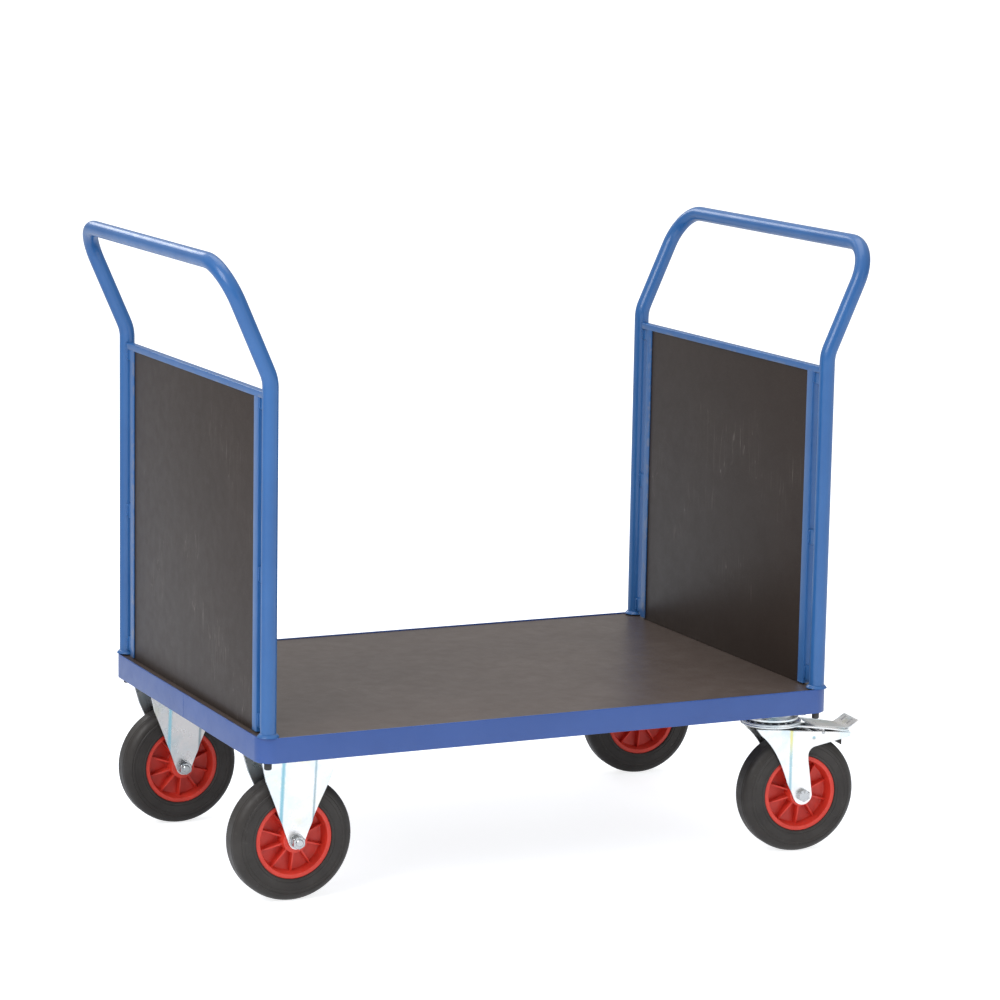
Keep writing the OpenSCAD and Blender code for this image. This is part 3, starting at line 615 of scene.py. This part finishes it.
# the tube's middle line over one end at +X: post, bend, leaning leg, corner, bar and back
def endPath():
    f = endFrame
    px = platform["length"] / 2 - f["inX"]
    py = platform["width"] / 2 - f["inY"]
    base, bar = platform["top"], platform["top"] + f["barRise"]
    lean = np.radians(f["lean"])
    foot = bar - f["barLean"] / np.tan(lean)
    start = f["bend"] * np.tan(lean / 2)
    a = np.linspace(0, lean, 12)
    bendX = px + f["bend"] * (1 - np.cos(a))
    bendZ = foot - start + f["bend"] * np.sin(a)
    up = np.array([np.sin(lean), np.cos(lean)])
    run = (bar - foot) / np.cos(lean)
    along = np.linspace(start, run - f["corner"], 8)[1:]
    c = np.radians(np.linspace(0, 90, 17))[1:]
    cornerAlong = run - f["corner"] + f["corner"] * np.sin(c)
    cornerY = py - f["corner"] * (1 - np.cos(c))
    postZ = np.linspace(base, foot - start, 24)[:-1]
    x = np.concatenate([np.full(len(postZ), px), bendX, px + up[0] * along, px + up[0] * cornerAlong])
    z = np.concatenate([postZ, bendZ, foot + up[1] * along, foot + up[1] * cornerAlong])
    y = np.concatenate([np.full(len(postZ) + len(bendX) + len(along), py), cornerY])
    half = np.stack([x, y, z], axis=1)
    across = np.linspace(half[-1], half[-1] * [1, -1, 1], 30)[1:-1]
    return np.concatenate([half, across, half[::-1] * [1, -1, 1]])


# a bead along a straight line: its radius is r (1 + 0.16 sin(34 s + seed) sin(pi s)^0.3), and both
# ends taper
def weldBead(start, end, radius, seed, steps=26):
    s = np.linspace(0, 1, steps)[:, None]
    path = np.array(start) * (1 - s) + np.array(end) * s
    ripple = 1 + 0.16 * np.sin(s[:, 0] * 34 + seed) * np.sin(np.pi * np.clip(s[:, 0], 0.03, 0.97)) ** 0.3
    taper = np.clip(np.minimum(s[:, 0], 1 - s[:, 0]) * 12, 0.25, 1)
    return sweepCircle(path, radius * ripple * taper, 12, (1.0, 0.0, 0.02))


# an upright bar with rounded edges
def boxSection(x0, x1, y0, y1, z0, z1, edge):
    outline = roundOff([(x0, y0), (x1, y0), (x1, y1), (x0, y1)], edge, 4)
    return prism(outline, z0, z1, min(0.5, edge))


def buildEnd(side, name):
    f = endFrame
    body = name + "_end"
    flipX = np.array([side, 1, 1])
    mirror = lambda parts: [(np.asarray(v) * flipX, q) for v, q in parts]
    px = platform["length"] / 2 - f["inX"]
    py = platform["width"] / 2 - f["inY"]
    base = platform["top"]
    fixNormals(makePiece(name + "EndTube",
                         mirror([sweepCircle(endPath(), f["tube"], 40, (0.31, 0.02, 0.11))]),
                         "tubePaint", body, [name + "_end_tube"]))
    flare = roundOff([(f["tube"] - 0.6, 0), (f["collar"], 0), (f["collar"] - 0.4, 1.4),
                      (f["tube"] + 1.4, f["collarHigh"] - 0.9),
                      (f["tube"] - 0.6, f["collarHigh"])], 0.6, 4)
    rings = [revolve(flare, turnAbout(px, sign * py, base), 56) for sign in (-1, 1)]
    fixNormals(makePiece(name + "PostCollars", mirror(rings), "tubePaint", body,
                         [name + "_post_collars"]))

    half = f["railThick"] / 2
    groove = f["board"] / 2
    top = base + f["railTop"]
    foot = base + 1
    parts = []
    # rail: a U folded over the board's top edge, its section carried along Y
    low = top - f["rail"]
    section = roundOff([(-half, low), (-groove, low), (-groove, top - 3), (groove, top - 3),
                        (groove, low), (half, low), (half, top), (-half, top)],
                       [0.5, 0.5, 0.4, 0.4, 0.5, 0.5, 1.6, 1.6], 4)
    y = np.linspace(-py + f["tube"] - 1.5, py - f["tube"] + 1.5, 40)
    grid = np.stack([np.broadcast_to(px + section[None, :, 0], (len(y), len(section))),
                     np.broadcast_to(y[:, None], (len(y), len(section))),
                     np.broadcast_to(section[None, :, 1], (len(y), len(section)))], axis=-1)
    n = len(section)
    parts.append((grid.reshape(-1, 3),
                  [gridFaces(len(y), n, False, True), *carriedCaps(len(y), n)]))
    for sign in (-1, 1):
        inner, outer = f["stripIn"] * sign, f["stripOut"] * sign
        bite = inner + f["bite"] * sign
        # strip: two lips on the board's edge and a web behind it
        outline = np.array([(-half, outer), (-half, inner), (-groove, inner), (-groove, bite),
                            (groove, bite), (groove, inner), (half, inner), (half, outer)]) + [px, 0]
        parts.append(prism(roundOff(outline, [1.6, 0.5, 0.5, 0.3, 0.3, 0.5, 0.5, 1.6], 4),
                           foot, low + 0.5, 0.3))
        post = (py - f["tube"]) * sign
        for z in (foot + 6, (base + top) / 2 - 30, top - 29):
            y0, y1 = sorted((outer, post + sign))
            parts.append(boxSection(px - half / 2, px + half / 2, y0, y1, z, z + f["tabHigh"], 0.8))
            for face in (-1, 1):
                x = px + face * (half / 2 + 0.4)
                for y, bead, seed in ((post - 0.4 * sign, 1.9, z), (outer + 0.4 * sign, 1.5, z + 1)):
                    parts.append(weldBead((x, y, z + 1), (x, y, z + f["tabHigh"] - 1), bead, seed))
        for face in (-1, 1):
            x = px + face * half * 0.8
            y = post - 0.6 * sign
            parts.append(weldBead((x, y, low), (x, y, top - 0.5), 1.8, top))
    fixNormals(makePiece(name + "BoardFrame", mirror(parts), "tubePaint", body,
                         [name + "_panel_frame"]))

    boardLow, boardHigh = (np.array(v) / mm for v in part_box(name + "_end_panel"))
    board = boxSection(boardLow[0], boardHigh[0], boardLow[1], boardHigh[1], boardLow[2], boardHigh[2], 0.7)
    makePiece(name + "EndBoard", [board], "panel", body, [name + "_end_panel"])

    capLow, capHigh = (np.array(v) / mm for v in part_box(name + "_spigot_caps"))
    r, high = f["cap"], capHigh[2] - capLow[2]
    shell = [(0.4, 0), (3.2, 0.0), (r - 1.2, 0.25), (r - 0.3, 1.1), (r, 2.4), (r, high - 1),
             (r - 0.5, high), (4.6, high), (4.55, 1.6), (0.4, 1.5)]
    caps = [domed(shell, turnAbout(px, sign * py, capLow[2]), 40) for sign in (-1, 1)]
    fixNormals(makePiece(name + "SpigotCaps", mirror(caps), "cap", body,
                         [name + "_spigot_caps"]))


buildEnd(-1, "left")
buildEnd(1, "right")
print("ends built")


# wheels

# rings are the thin lines in the side wall: middle radius, half width and depth
wheel = {"tyre": 100.0, "halfWidth": 25.0, "flat": 7.5, "seat": 63.0, "face": 22.5, "flange": 7.0,
         "hub": 20.0, "hubHalf": 29.5, "bore": 10.0, "web": 2.5, "bead": 3.0,
         "ribs": 10, "rib": 1.25, "ribDrop": 3.5, "ribFall": 9.5, "ribTurn": 18.0,
         "rings": ((86.5, 0.9, 0.8), (81.0, 0.7, 0.45), (68.3, 0.7, 0.7)),
         "hollow": (77.0, 7.5, 0.45), "groove": (11.5, 0.7, 0.5)}


# half the tyre's section from the tread's middle to the bead: flat, shoulder arc and side wall; each
# ring cuts depth exp(-((r - middle) / size)^4) into the wall, the shallow hollow the same to the 8th
def tyreSection():
    w = wheel
    shoulder = w["halfWidth"] - w["flat"]
    a = np.radians(np.linspace(90, 0, 40))
    r = w["tyre"] - shoulder + shoulder * np.sin(a)
    y = w["flat"] + shoulder * np.cos(a)
    side = np.linspace(r[-1], w["seat"] + w["bead"], 46)[1:]
    bead = arcPoints((w["seat"] + w["bead"], w["halfWidth"] - w["bead"]), w["bead"], 90, 180, 8)[1:]
    r = np.concatenate([[w["tyre"]], r, side, bead[:, 0]])
    y = np.concatenate([[0.0], y, np.full(len(side), w["halfWidth"]), bead[:, 1]])
    for middle, size, depth in w["rings"]:
        y = y - depth * np.exp(-((r - middle) / size) ** 4)
    middle, size, depth = w["hollow"]
    y = y - depth * np.exp(-((r - middle) / size) ** 8)
    middle, size, depth = w["groove"]
    tread = np.exp(-((y - middle) / size) ** 2) * depth * (r > 95)
    return np.stack([r - tread, y], axis=1)


def buildWheel(name, prefix, body, place):
    w = wheel
    half = tyreSection()
    section = np.concatenate([half, (half * [1, -1])[::-1][:-1]])
    around = chain(alongY, place)
    fixNormals(makePiece(name + "Tyre", [revolve(section, around, 144)], "rubber", body,
                         [prefix + "_tyre"]))

    inner = w["seat"] - w["flange"]
    root = inner - 3
    side = [(w["bore"], w["hubHalf"]), (w["hub"], w["hubHalf"]), (w["hub"], w["web"]), (root, w["web"]),
            (inner, w["face"]), (w["seat"], w["face"])]
    core = np.concatenate([np.array(side) * [1, -1], side[::-1]])
    section = roundOff(core, [0.8, 1.4, 1.8, 2.5, 1.0, 1.2, 1.2, 1.0, 2.5, 1.8, 1.4, 0.8], 5)
    parts = [revolve(section, around, 120)]
    # ribs: thin fins whose edge dips in a shallow curve from hub to barrel, thicker at the root
    u = np.linspace(w["hub"] - 0.8, root + 2.6, 14)
    v = np.linspace(-1, 1, 9)
    along = (u - u[0]) / (u[-1] - u[0])
    reach = w["face"] - w["ribDrop"] - w["ribFall"] * along ** 1.3
    for k in range(w["ribs"]):
        a = np.radians(k * 360 / w["ribs"] + w["ribTurn"])
        for face in (-1, 1):
            depth = 0.5 * (1 + v[None, :]) * reach[:, None]
            thick = (w["rib"] + 0.45 * (1 - depth / reach[:, None])) * np.ones_like(depth)
            sheets = [np.stack([np.broadcast_to(u[:, None], depth.shape), sign * thick, face * depth],
                               axis=-1) for sign in (-1, 1)]
            grid = np.concatenate([sheets[0], sheets[1][:, ::-1]], axis=1)
            n = grid.shape[1]
            p = grid.reshape(-1, 3)
            x, t, y = p[:, 0], p[:, 1], p[:, 2]
            turned = np.stack([x * np.cos(a) - t * np.sin(a), y, x * np.sin(a) + t * np.cos(a)], axis=1)
            parts.append((place(turned),
                          [gridFaces(len(u), n, False, True), *carriedCaps(len(u), n)]))
    fixNormals(makePiece(name + "WheelCentre", parts, "red", body,
                         [prefix + "_wheel_centre"]))


axleBolt = {"flats": 19.0, "head": 7.5, "shank": 6.0, "tip": 4.9, "end": 14.5, "washer": 12.0,
            "washerHigh": 2.0, "nutHigh": 10.0, "chamfer": 1.1}


# hex bolt through the fork, with a washer, a nut and the thread's end on the other side
def buildAxle(name, prefix, body, place, headSide, outer):
    b = axleBolt
    at = chain(alongY, lambda points: np.asarray(points) * [1, headSide, 1], place)
    shank = [(0.5, -outer - b["end"]), (b["tip"], -outer - b["end"]),
             (b["shank"], -outer - b["end"] + b["chamfer"]), (b["shank"], outer + 0.5), (0.5, outer + 0.5)]
    head = [hexBlock(b["flats"], outer, outer + b["head"], at, 1.0), domed(shank, at, 40)]
    fixNormals(makePiece(name + "AxleBolt", head, "fastener", body, [prefix + "_axle_bolt"]))
    seat = -outer - b["washerHigh"]
    ring = roundOff([(b["shank"] + 0.02, seat), (b["washer"], seat), (b["washer"], -outer),
                     (b["shank"] + 0.02, -outer)], 0.35, 3)
    nut = [revolve(ring, at, 56),
           hexBlock(b["flats"], seat - b["nutHigh"], seat, at, b["chamfer"], b["shank"] + 0.03)]
    fixNormals(makePiece(name + "AxleNut", nut, "fastener", body, [prefix + "_axle_nut"]))


# fixed castors

# heights and halves give the leg's half width at each height
fixedCastor = {"plateTop": 243.0, "plate": 4.0, "sheet": 4.0, "plateLength": 140.0, "plateWidth": 110.0,
               "band": 34.0, "wing": 31.0, "bandHalf": 24.0, "crease": 6.0, "end": 13.0, "axle": 100.0,
               "splay": 15.0, "splayStart": 112.0,
               "heights": (95.35, 155.0, 200.0, 239.0), "halves": (12.14, 35.0, 54.0, 64.0)}


# 1 on the raised band, 0 outside it, with a smooth step: s^2 (3 - 2 s)
def legBand(x, half, crease):
    s = np.clip((half + crease - np.abs(x)) / crease, 0, 1)
    return s * s * (3 - 2 * s)


# a leg's point: (u half(z), wing + splay (z - start) / (under - start) + rise band(x), z), with half(z)
# round the axle, then straight
def buildFixedFork(name, prefix, place):
    c = fixedCastor
    top = c["plateTop"] - c["plate"]
    turn = np.radians(np.linspace(4, 69, 14))
    z = np.concatenate([c["axle"] - c["end"] * np.cos(turn), np.linspace(c["heights"][0] + 1.5, top, 64)])
    half = np.concatenate([c["end"] * np.sin(turn), np.interp(z[14:], c["heights"], c["halves"])])
    out = c["wing"] + c["splay"] * np.clip((z - c["splayStart"]) / (top - c["splayStart"]), 0, 1)
    x = half[:, None] * np.linspace(-1, 1, 61)[None, :]
    y = out[:, None] + (c["band"] - c["wing"]) * legBand(x, c["bandHalf"], c["crease"])
    legs = []
    for sign in (-1, 1):
        grid = np.stack([x, sign * y, np.broadcast_to(z[:, None], x.shape)], axis=-1)
        faces = gridFaces(len(z), x.shape[1])
        legs.append((place(grid.reshape(-1, 3)), [faces if sign < 0 else faces[:, ::-1]]))
    fork = makePiece(name + "Fork", legs, "pressing", "chassis", [prefix + "_fork"],
                     bevel=0.7, thickness=c["sheet"])
    # painted shade along both creases of the raised band, stronger on the crease at negative x
    s = np.clip((c["bandHalf"] + c["crease"] - np.abs(x)) / c["crease"], 0, 1)
    markPoints(fork, "crease", np.sqrt(4 * s * (1 - s)) * np.where(x < 0, 0.95, 0.55))
    plate = roundedRect(c["plateLength"], c["plateWidth"], 9)
    makePiece(name + "Plate", [prism(plate, top, c["plateTop"], 0.7, to3d=place)], "pressing", "chassis")
    return fork


# swivel castors

# pit is the round mark's place; nape is the left edge's top, pull and foot; spine and tip are the
# centres of the arcs in the right edge, and lip the line of the crown's side lips
swivelCastor = {"turn": -5.0, "trail": 46.0, "plateTop": 243.0, "plate": 4.0, "plateLength": 105.0,
                "plateWidth": 85.0, "neckR": 39.0, "neck": 7.0, "cupR": 45.0, "cup": 7.0, "gap": 3.0,
                "crownR": 50.0, "crown": 5.0, "band": 34.0, "wing": 31.0, "creaseX": 21.0,
                "crease": 5.0, "sheet": 4.0, "end": 16.5, "axle": 100.0, "pivotX": 80.0,
                "pivotZ": 203.0, "pin": 3.0, "pit": (63.5, 195.5), "pitDepth": 0.9,
                "nape": ((-29.0, 203.0), (0.0, 180.0), (18.5, 122.0)),
                "spine": (69.0, 166.0), "tip": (126.0, 197.0), "lip": ((90.0, 209.5), (127.0, 202.5))}


# even steps along the polyline through points
def curveThrough(points, steps):
    p = np.asarray(points, dtype=float)
    d = np.concatenate([[0], np.cumsum(np.linalg.norm(np.diff(p, axis=0), axis=1))])
    s = np.linspace(0, d[-1], steps)
    return np.stack([np.interp(s, d, p[:, 0]), np.interp(s, d, p[:, 1])], axis=1)


# a leg's point: (x, z) = left(s) (1 - u) + right(s) u and y = wing + rise step(x) - dimple(x, z), with
# step(x) = s^2 (3 - 2 s) across the crease
def buildSwivelFork(name, prefix, body, place):
    c = swivelCastor
    axle = np.array([c["trail"], c["axle"]])
    # left and right edges of a leg, from its lower end up
    t = np.linspace(1, 0, 14)[:, None]
    nape = softTurn(t, *(np.array(p) for p in c["nape"]))
    left = np.concatenate([arcPoints(axle, c["end"], 270, 203, 12), nape, [(-33, 208), (-38, 214.5)]])
    right = np.concatenate([arcPoints(axle, c["end"], 272, 356, 12), [(54, 160)],
                            arcPoints(c["spine"], 15, 180, 104, 12)[1:],
                            arcPoints(c["tip"], 4, 284, 360, 6), [(130, 200.5)]])
    rows = 90
    low, high = curveThrough(left, rows), curveThrough(right, rows)
    u = np.linspace(0, 1, 71)[None, :, None]
    flat = low[:, None] * (1 - u) + high[:, None] * u
    x, z = flat[..., 0], flat[..., 1]
    s = np.clip((x - c["creaseX"]) / c["crease"], 0, 1)
    raised = (c["band"] - c["wing"]) * s * s * (3 - 2 * s)
    # the small round dimple beside the brake housing: depth exp(-(distance^2 / 7)^2)
    pitSquare = (x - c["pit"][0]) ** 2 + (z - c["pit"][1]) ** 2
    dimple = c["pitDepth"] * np.exp(-(pitSquare / 7.0) ** 2)
    sheets = []
    for sign in (-1, 1):
        grid = np.stack([x, sign * (c["wing"] + raised - dimple), z], axis=-1)
        faces = gridFaces(rows, x.shape[1])
        sheets.append((place(grid.reshape(-1, 3)), [faces if sign < 0 else faces[:, ::-1]]))
    legs = makePiece(name + "ForkLegs", sheets, "pressing", body, [prefix + "_fork"],
                     bevel=0.7, thickness=c["sheet"])

    # painted shade along the crease, weaker towards the top, and in the round dimple; a straw plating tint on
    # the crease's upper part
    bend = 4 * s * (1 - s)
    upper = np.clip((z - 165) / 30, 0, 1)
    pit = np.exp(-(pitSquare / 6.0) ** 2)
    markPoints(legs, "crease", np.maximum(bend * (0.75 - 0.45 * upper), pit))
    markPoints(legs, "straw", bend * 0.9 * upper)

    crownTop = c["plateTop"] - c["plate"] - c["neck"] - c["cup"] - c["gap"]
    crownLow = crownTop - c["crown"]
    r = c["crownR"]
    disc = roundOff([(7, crownLow + 1.2), (r - 7, crownLow + 1.2), (r - 2.5, crownLow - 0.2),
                     (r, crownLow + 0.6), (r, crownLow + 2.6), (r - 1.0, crownTop - 1.2), (r, crownTop),
                     (r - 0.6, crownTop + 2.2), (r - 3.4, crownTop + 2.2), (r - 3.9, crownTop - 0.4),
                     (r - 14, crownTop - 1.5), (7, crownTop - 1.5)], 0.5, 4)
    parts = [revolve(disc, place, 96)]
    # lips along the wings' top edges, from the crown to the tips
    for sign in (-1, 1):
        path = curveThrough([(18, crownLow + 1.0), (46, crownLow - 1.5), *c["lip"]], 40)
        y = sign * (c["band"] - 1.2 + 1.6 * np.sin(np.linspace(0, np.pi, 40)))
        points, faces = sweepCircle(np.stack([path[:, 0], y, path[:, 1]], axis=1), 2.1, 14)
        parts.append((place(points), faces))
    fixNormals(makePiece(name + "Crown", parts, "pressing", body))

    half, radius = c["band"], c["pin"]
    profile = [(0.4, -half - 0.6), (radius - 0.8, -half - 0.6), (radius, -half - 0.1),
               (radius, half + 0.1), (radius - 0.8, half + 0.6), (0.4, half + 0.6)]
    pin = domed(profile, chain(alongY, turnAbout(c["pivotX"], 0, c["pivotZ"]), place), 32)
    fixNormals(makePiece(name + "BrakePin", [pin], "fastener", body,
                         [prefix + "_brake_pin"]))


def buildTopPlate(name, prefix, place):
    c = swivelCastor
    top = c["plateTop"]
    under = top - c["plate"]
    cupTop = under - c["neck"]
    cupLow = cupTop - c["cup"]
    plate = roundedRect(c["plateLength"], c["plateWidth"], 8)
    cup = roundOff([(6.02, cupLow), (c["cupR"] - 3, cupLow), (c["cupR"], cupLow + 2.0),
                    (c["cupR"], cupTop - 1.0), (c["cupR"] - 3.2, cupTop),
                    (c["neckR"], cupTop + 2.0), (c["neckR"] - 2.5, under), (6.02, under)], 0.9, 4)
    parts = [prism(plate, under, top, 0.7, to3d=place), revolve(cup, place, 96)]
    fixNormals(makePiece(name + "TopPlate", parts, "pressing", "chassis",
                         [prefix + "_top_plate"]))


brakePedal = {"width": 55.0, "sheet": 3.0, "start": 68.0, "knee": 128.0, "reach": 149.0, "slope": 0.12,
              "rise": 13.5, "blade": 24.5, "flare": 3.0, "grooveY": 12.0, "sleeve": 5.8}


# the sheet's point: (x(s), u half(s), z(s) + groove(y)), with z(s) the bent line and half(s) flaring
# at the pad
def buildPedal(name, prefix, body, place):
    p, c = brakePedal, swivelCastor
    under = lambda x: c["pivotZ"] + c["pin"] - (x - c["pivotX"]) * p["slope"]
    kneeZ = under(p["knee"])
    # the sheet's upper face: down the blade, up the pad, with a curled end
    bend = roundOff([(p["knee"] - 12, under(p["knee"] - 12) + p["sheet"]), (p["knee"], kneeZ + p["sheet"]),
                     (p["knee"] + 12, kneeZ + p["sheet"] + 7.2)], [0.1, 6.0, 0.1], 7)
    path = curveThrough(np.concatenate([[(p["start"], under(p["start"]) + p["sheet"])], bend[7:14],
                                        [(p["reach"] - 3.0, kneeZ + p["rise"] + 1.4),
                                         (p["reach"] - 1.2, kneeZ + p["rise"] + 1.6)]]), 60)
    s = path[:, 0]
    halfBlade = p["blade"] + p["flare"] * np.clip((s - p["knee"] + 4) / 6, 0, 1)
    u = np.linspace(-1, 1, 41)
    y = halfBlade[:, None] * u[None, :]
    onPad = np.clip((s - p["knee"] - 4) / 3, 0, 1)[:, None]
    groove = -0.7 * np.exp(-((np.abs(y) - p["grooveY"]) / 1.6) ** 2) * onPad
    grid = np.stack([np.broadcast_to(s[:, None], y.shape), y, path[:, 1][:, None] + groove], axis=-1)
    sheet = (place(grid.reshape(-1, 3)), [gridFaces(len(s), len(u))[:, ::-1]])
    makePiece(name + "BrakePedal", [sheet], "pressing", body, [prefix + "_brake_pedal"],
              bevel=0.6, thickness=-p["sheet"])
    half, bore = p["width"] / 2 - 0.5, c["pin"] + 0.06
    sleeve = roundOff([(bore, -half), (p["sleeve"], -half), (p["sleeve"], half), (bore, half)], 0.5, 3)
    fixNormals(makePiece(name + "PedalSleeve",
                         [revolve(sleeve, chain(alongY, turnAbout(c["pivotX"], 0, c["pivotZ"]), place), 40)],
                         "pressing", body))


# castors in place

castorPlaces = {"fixedX": -418.0, "fixedY": 253.0, "swivelX": 421.0, "swivelY": 284.0, "axle": 100.0}

for label, sign in (("near", -1), ("far", 1)):
    prefix, name = "fixed_" + label, "fixed" + label.capitalize()
    at = turnAbout(castorPlaces["fixedX"], sign * castorPlaces["fixedY"], 0)
    atWheel = turnAbout(castorPlaces["fixedX"], sign * castorPlaces["fixedY"], castorPlaces["axle"])
    buildFixedFork(name, prefix, at)
    buildAxle(name, prefix, "chassis", atWheel, 1, fixedCastor["band"])
    buildWheel(name, prefix, prefix + "_wheel", atWheel)

    prefix, name = "swivel_" + label, "swivel" + label.capitalize()
    turn = swivelCastor["turn"]
    at = turnAbout(castorPlaces["swivelX"], sign * castorPlaces["swivelY"], 0, turn)
    square = turnAbout(castorPlaces["swivelX"], sign * castorPlaces["swivelY"], 0)
    atWheel = chain(turnAbout(swivelCastor["trail"], 0, castorPlaces["axle"]), at)
    buildTopPlate(name, prefix, square)
    buildSwivelFork(name, prefix, prefix + "_fork", at)
    buildAxle(name, prefix, prefix + "_fork", atWheel, -1, swivelCastor["band"])
    buildPedal(name, prefix, prefix + "_brake", at)
    buildWheel(name, prefix, prefix + "_wheel", atWheel)


print("castors built")


# castor bolts and nuts under and over the plates
boltPattern = {"flats": 13.0, "head": 5.3, "nut": 6.8, "shank": 4.0, "under": 239.0, "over": 247.0,
               "fixedX": 52.5, "fixedY": 33.0, "swivelX": 40.0, "swivelY": 30.0}


heads, nuts = [], []
b = boltPattern
for kind in ("fixed", "swivel"):
    for side, dx, dy in itertools.product((-1, 1), repeat=3):
        x = castorPlaces[kind + "X"] + dx * b[kind + "X"]
        y = side * castorPlaces[kind + "Y"] + dy * b[kind + "Y"]
        at = turnAbout(x, y, 0, 17 * dx + 31 * dy)
        shank = [(0.4, b["under"] - 0.5), (b["shank"], b["under"] - 0.5), (b["shank"], b["over"] + 7.8),
                 (3.2, b["over"] + 8.3), (0.4, b["over"] + 8.3)]
        heads.append(hexBlock(b["flats"], b["under"] - b["head"], b["under"], at, 0.8, sides=48))
        heads.append(domed(shank, at, 20))
        nuts.append(hexBlock(b["flats"], b["over"], b["over"] + b["nut"], at, 0.8, 4.03, sides=48))


fixNormals(makePiece("castorBolts", heads, "fastener", "chassis", ["castor_bolts"]))
fixNormals(makePiece("castorNuts", nuts, "fastener", "chassis", ["castor_nuts"]))

# what keeps its own solid takes its finish here
finishes = {"cross_tubes": "rimPaint", "castor_pads": "rimPaint", "corner_sockets": "rimPaint",
            "deck_screws": "fastener", "left_spigots": "fastener", "right_spigots": "fastener"}


for label in ("near", "far"):
    finishes.update({f"fixed_{label}_bush": "nylon", f"swivel_{label}_bush": "nylon",
                     f"swivel_{label}_kingpin": "fastener",
                     f"swivel_{label}_race_balls": "ball", f"swivel_{label}_brake_shoe": "shoe"})


for nodeName, finish in finishes.items():
    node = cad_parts[nodeName]
    if not node.material_slots:
        node.data.materials.append(materials[finish])
    for held in node.material_slots:
        held.material = materials[finish]


print("carried-over solids finished:", len(finishes))


# floor, light and camera

studio = {"horizon": 0.30, "zenith": 0.95, "floor": (0.58, 0.61, 0.66), "floorGlow": 0.80,
          "behindGlow": 0.14, "halfFloor": 30.0, "key": 95.0, "fill": 15.0, "top": 34.0, "rear": 34.0}


def buildStudio():
    mesh = bpy.data.meshes.new("studioFloor")
    s = studio["halfFloor"]
    mesh.from_pydata([(-s, -s, 0), (s, -s, 0), (s, s, 0), (-s, s, 0)], [], [(0, 1, 2, 3)])
    floor = bpy.data.objects.new("studioFloor", mesh)
    bpy.context.scene.collection.objects.link(floor)
    material, tree, shader = newMaterial("paleFloor", specular=0.3)
    shader.inputs["Base Color"].default_value = (*studio["floor"], 1)
    shader.inputs["Roughness"].default_value = 0.6
    shader.inputs["Emission Color"].default_value = (1, 1, 1, 1)
    where = addNode(tree, "SeparateXYZ", {}, {"Vector": addNode(tree, "TexCoord").outputs["Object"]})
    # the floor behind the truck gives less light than the floor in front of it
    behind = addNode(tree, "MapRange",
                     {"From Min": -0.9, "From Max": 0.5, "To Min": studio["floorGlow"],
                      "To Max": studio["behindGlow"]},
                     {"Value": where.outputs["Y"]})
    direct = addNode(tree, "LightPath").outputs["Is Camera Ray"]
    glow = addNode(tree, "MapRange", {"To Max": studio["floorGlow"]},
                   {"Value": direct, "To Min": behind.outputs["Result"]})
    tree.links.new(glow.outputs["Result"], shader.inputs["Emission Strength"])
    mesh.materials.append(material)

    world = bpy.data.worlds.new("studioWorld")
    bpy.context.scene.world = world
    world.use_nodes = True
    tree = world.node_tree
    background = tree.nodes["Background"]
    background.inputs["Color"].default_value = (1.0, 1.0, 1.0, 1)
    seen = addNode(tree, "LightPath").outputs["Is Camera Ray"]
    way = addNode(tree, "SeparateXYZ", {}, {"Vector": addNode(tree, "TexCoord").outputs["Generated"]})
    sky = addNode(tree, "MapRange",
                  {"From Min": 0.0, "From Max": 0.9, "To Min": studio["horizon"], "To Max": studio["zenith"]},
                  {"Value": way.outputs["Z"]})
    strength = addNode(tree, "MapRange", {"To Max": 1.1}, {"Value": seen, "To Min": sky.outputs["Result"]})
    tree.links.new(strength.outputs["Result"], background.inputs["Strength"])

    def area(name, place, target, size, power, colour=(1, 1, 1)):
        light = bpy.data.lights.new(name, "AREA")
        light.shape, light.size, light.energy, light.color = "SQUARE", size, power, colour
        lamp = bpy.data.objects.new(name, light)
        direction = np.array(target, dtype=float) - np.array(place)
        facing = Vector(direction).to_track_quat("-Z", "Y").to_matrix().to_4x4()
        lamp.matrix_world = Matrix.Translation(place) @ facing
        bpy.context.scene.collection.objects.link(lamp)
    area("keyLight", (-3.2, -1.6, 3.0), (0, 0, 0.4), 2.2, studio["key"])
    area("fillLight", (1.8, -4.5, 1.8), (0, 0, 0.4), 2.5, studio["fill"])
    area("rearLight", (-0.8, 5.2, 3.4), (0, 0, 0.8), 1.6, studio["rear"])
    area("topLight", (0.2, 0.6, 3.6), (0, 0, 0.3), 2.5, studio["top"])


cameraSettings = {"lens": 126.8055, "place": (-2.4055, -5.1971, 1.5415),
                  "right": (0.90493, -0.42519, 0.01781), "down": (-0.05544, -0.1593, -0.98567),
                  "ahead": (0.42194, 0.89098, -0.16773)}


def buildCamera():
    data = bpy.data.cameras.new("viewCamera")
    data.lens, data.sensor_width = cameraSettings["lens"], 36.0
    data.clip_end = 200.0
    camera = bpy.data.objects.new("viewCamera", data)
    right, down, ahead = (np.array(cameraSettings[k]) for k in ("right", "down", "ahead"))
    matrix = Matrix.Identity(4)
    for row in range(3):
        matrix[row][0], matrix[row][1], matrix[row][2] = right[row], -down[row], -ahead[row]
        matrix[row][3] = cameraSettings["place"][row]
    camera.matrix_world = matrix
    bpy.context.scene.collection.objects.link(camera)
    bpy.context.scene.camera = camera


buildStudio()
buildCamera()
bpy.context.scene.view_settings.view_transform = "Standard"
print("studio and camera set")
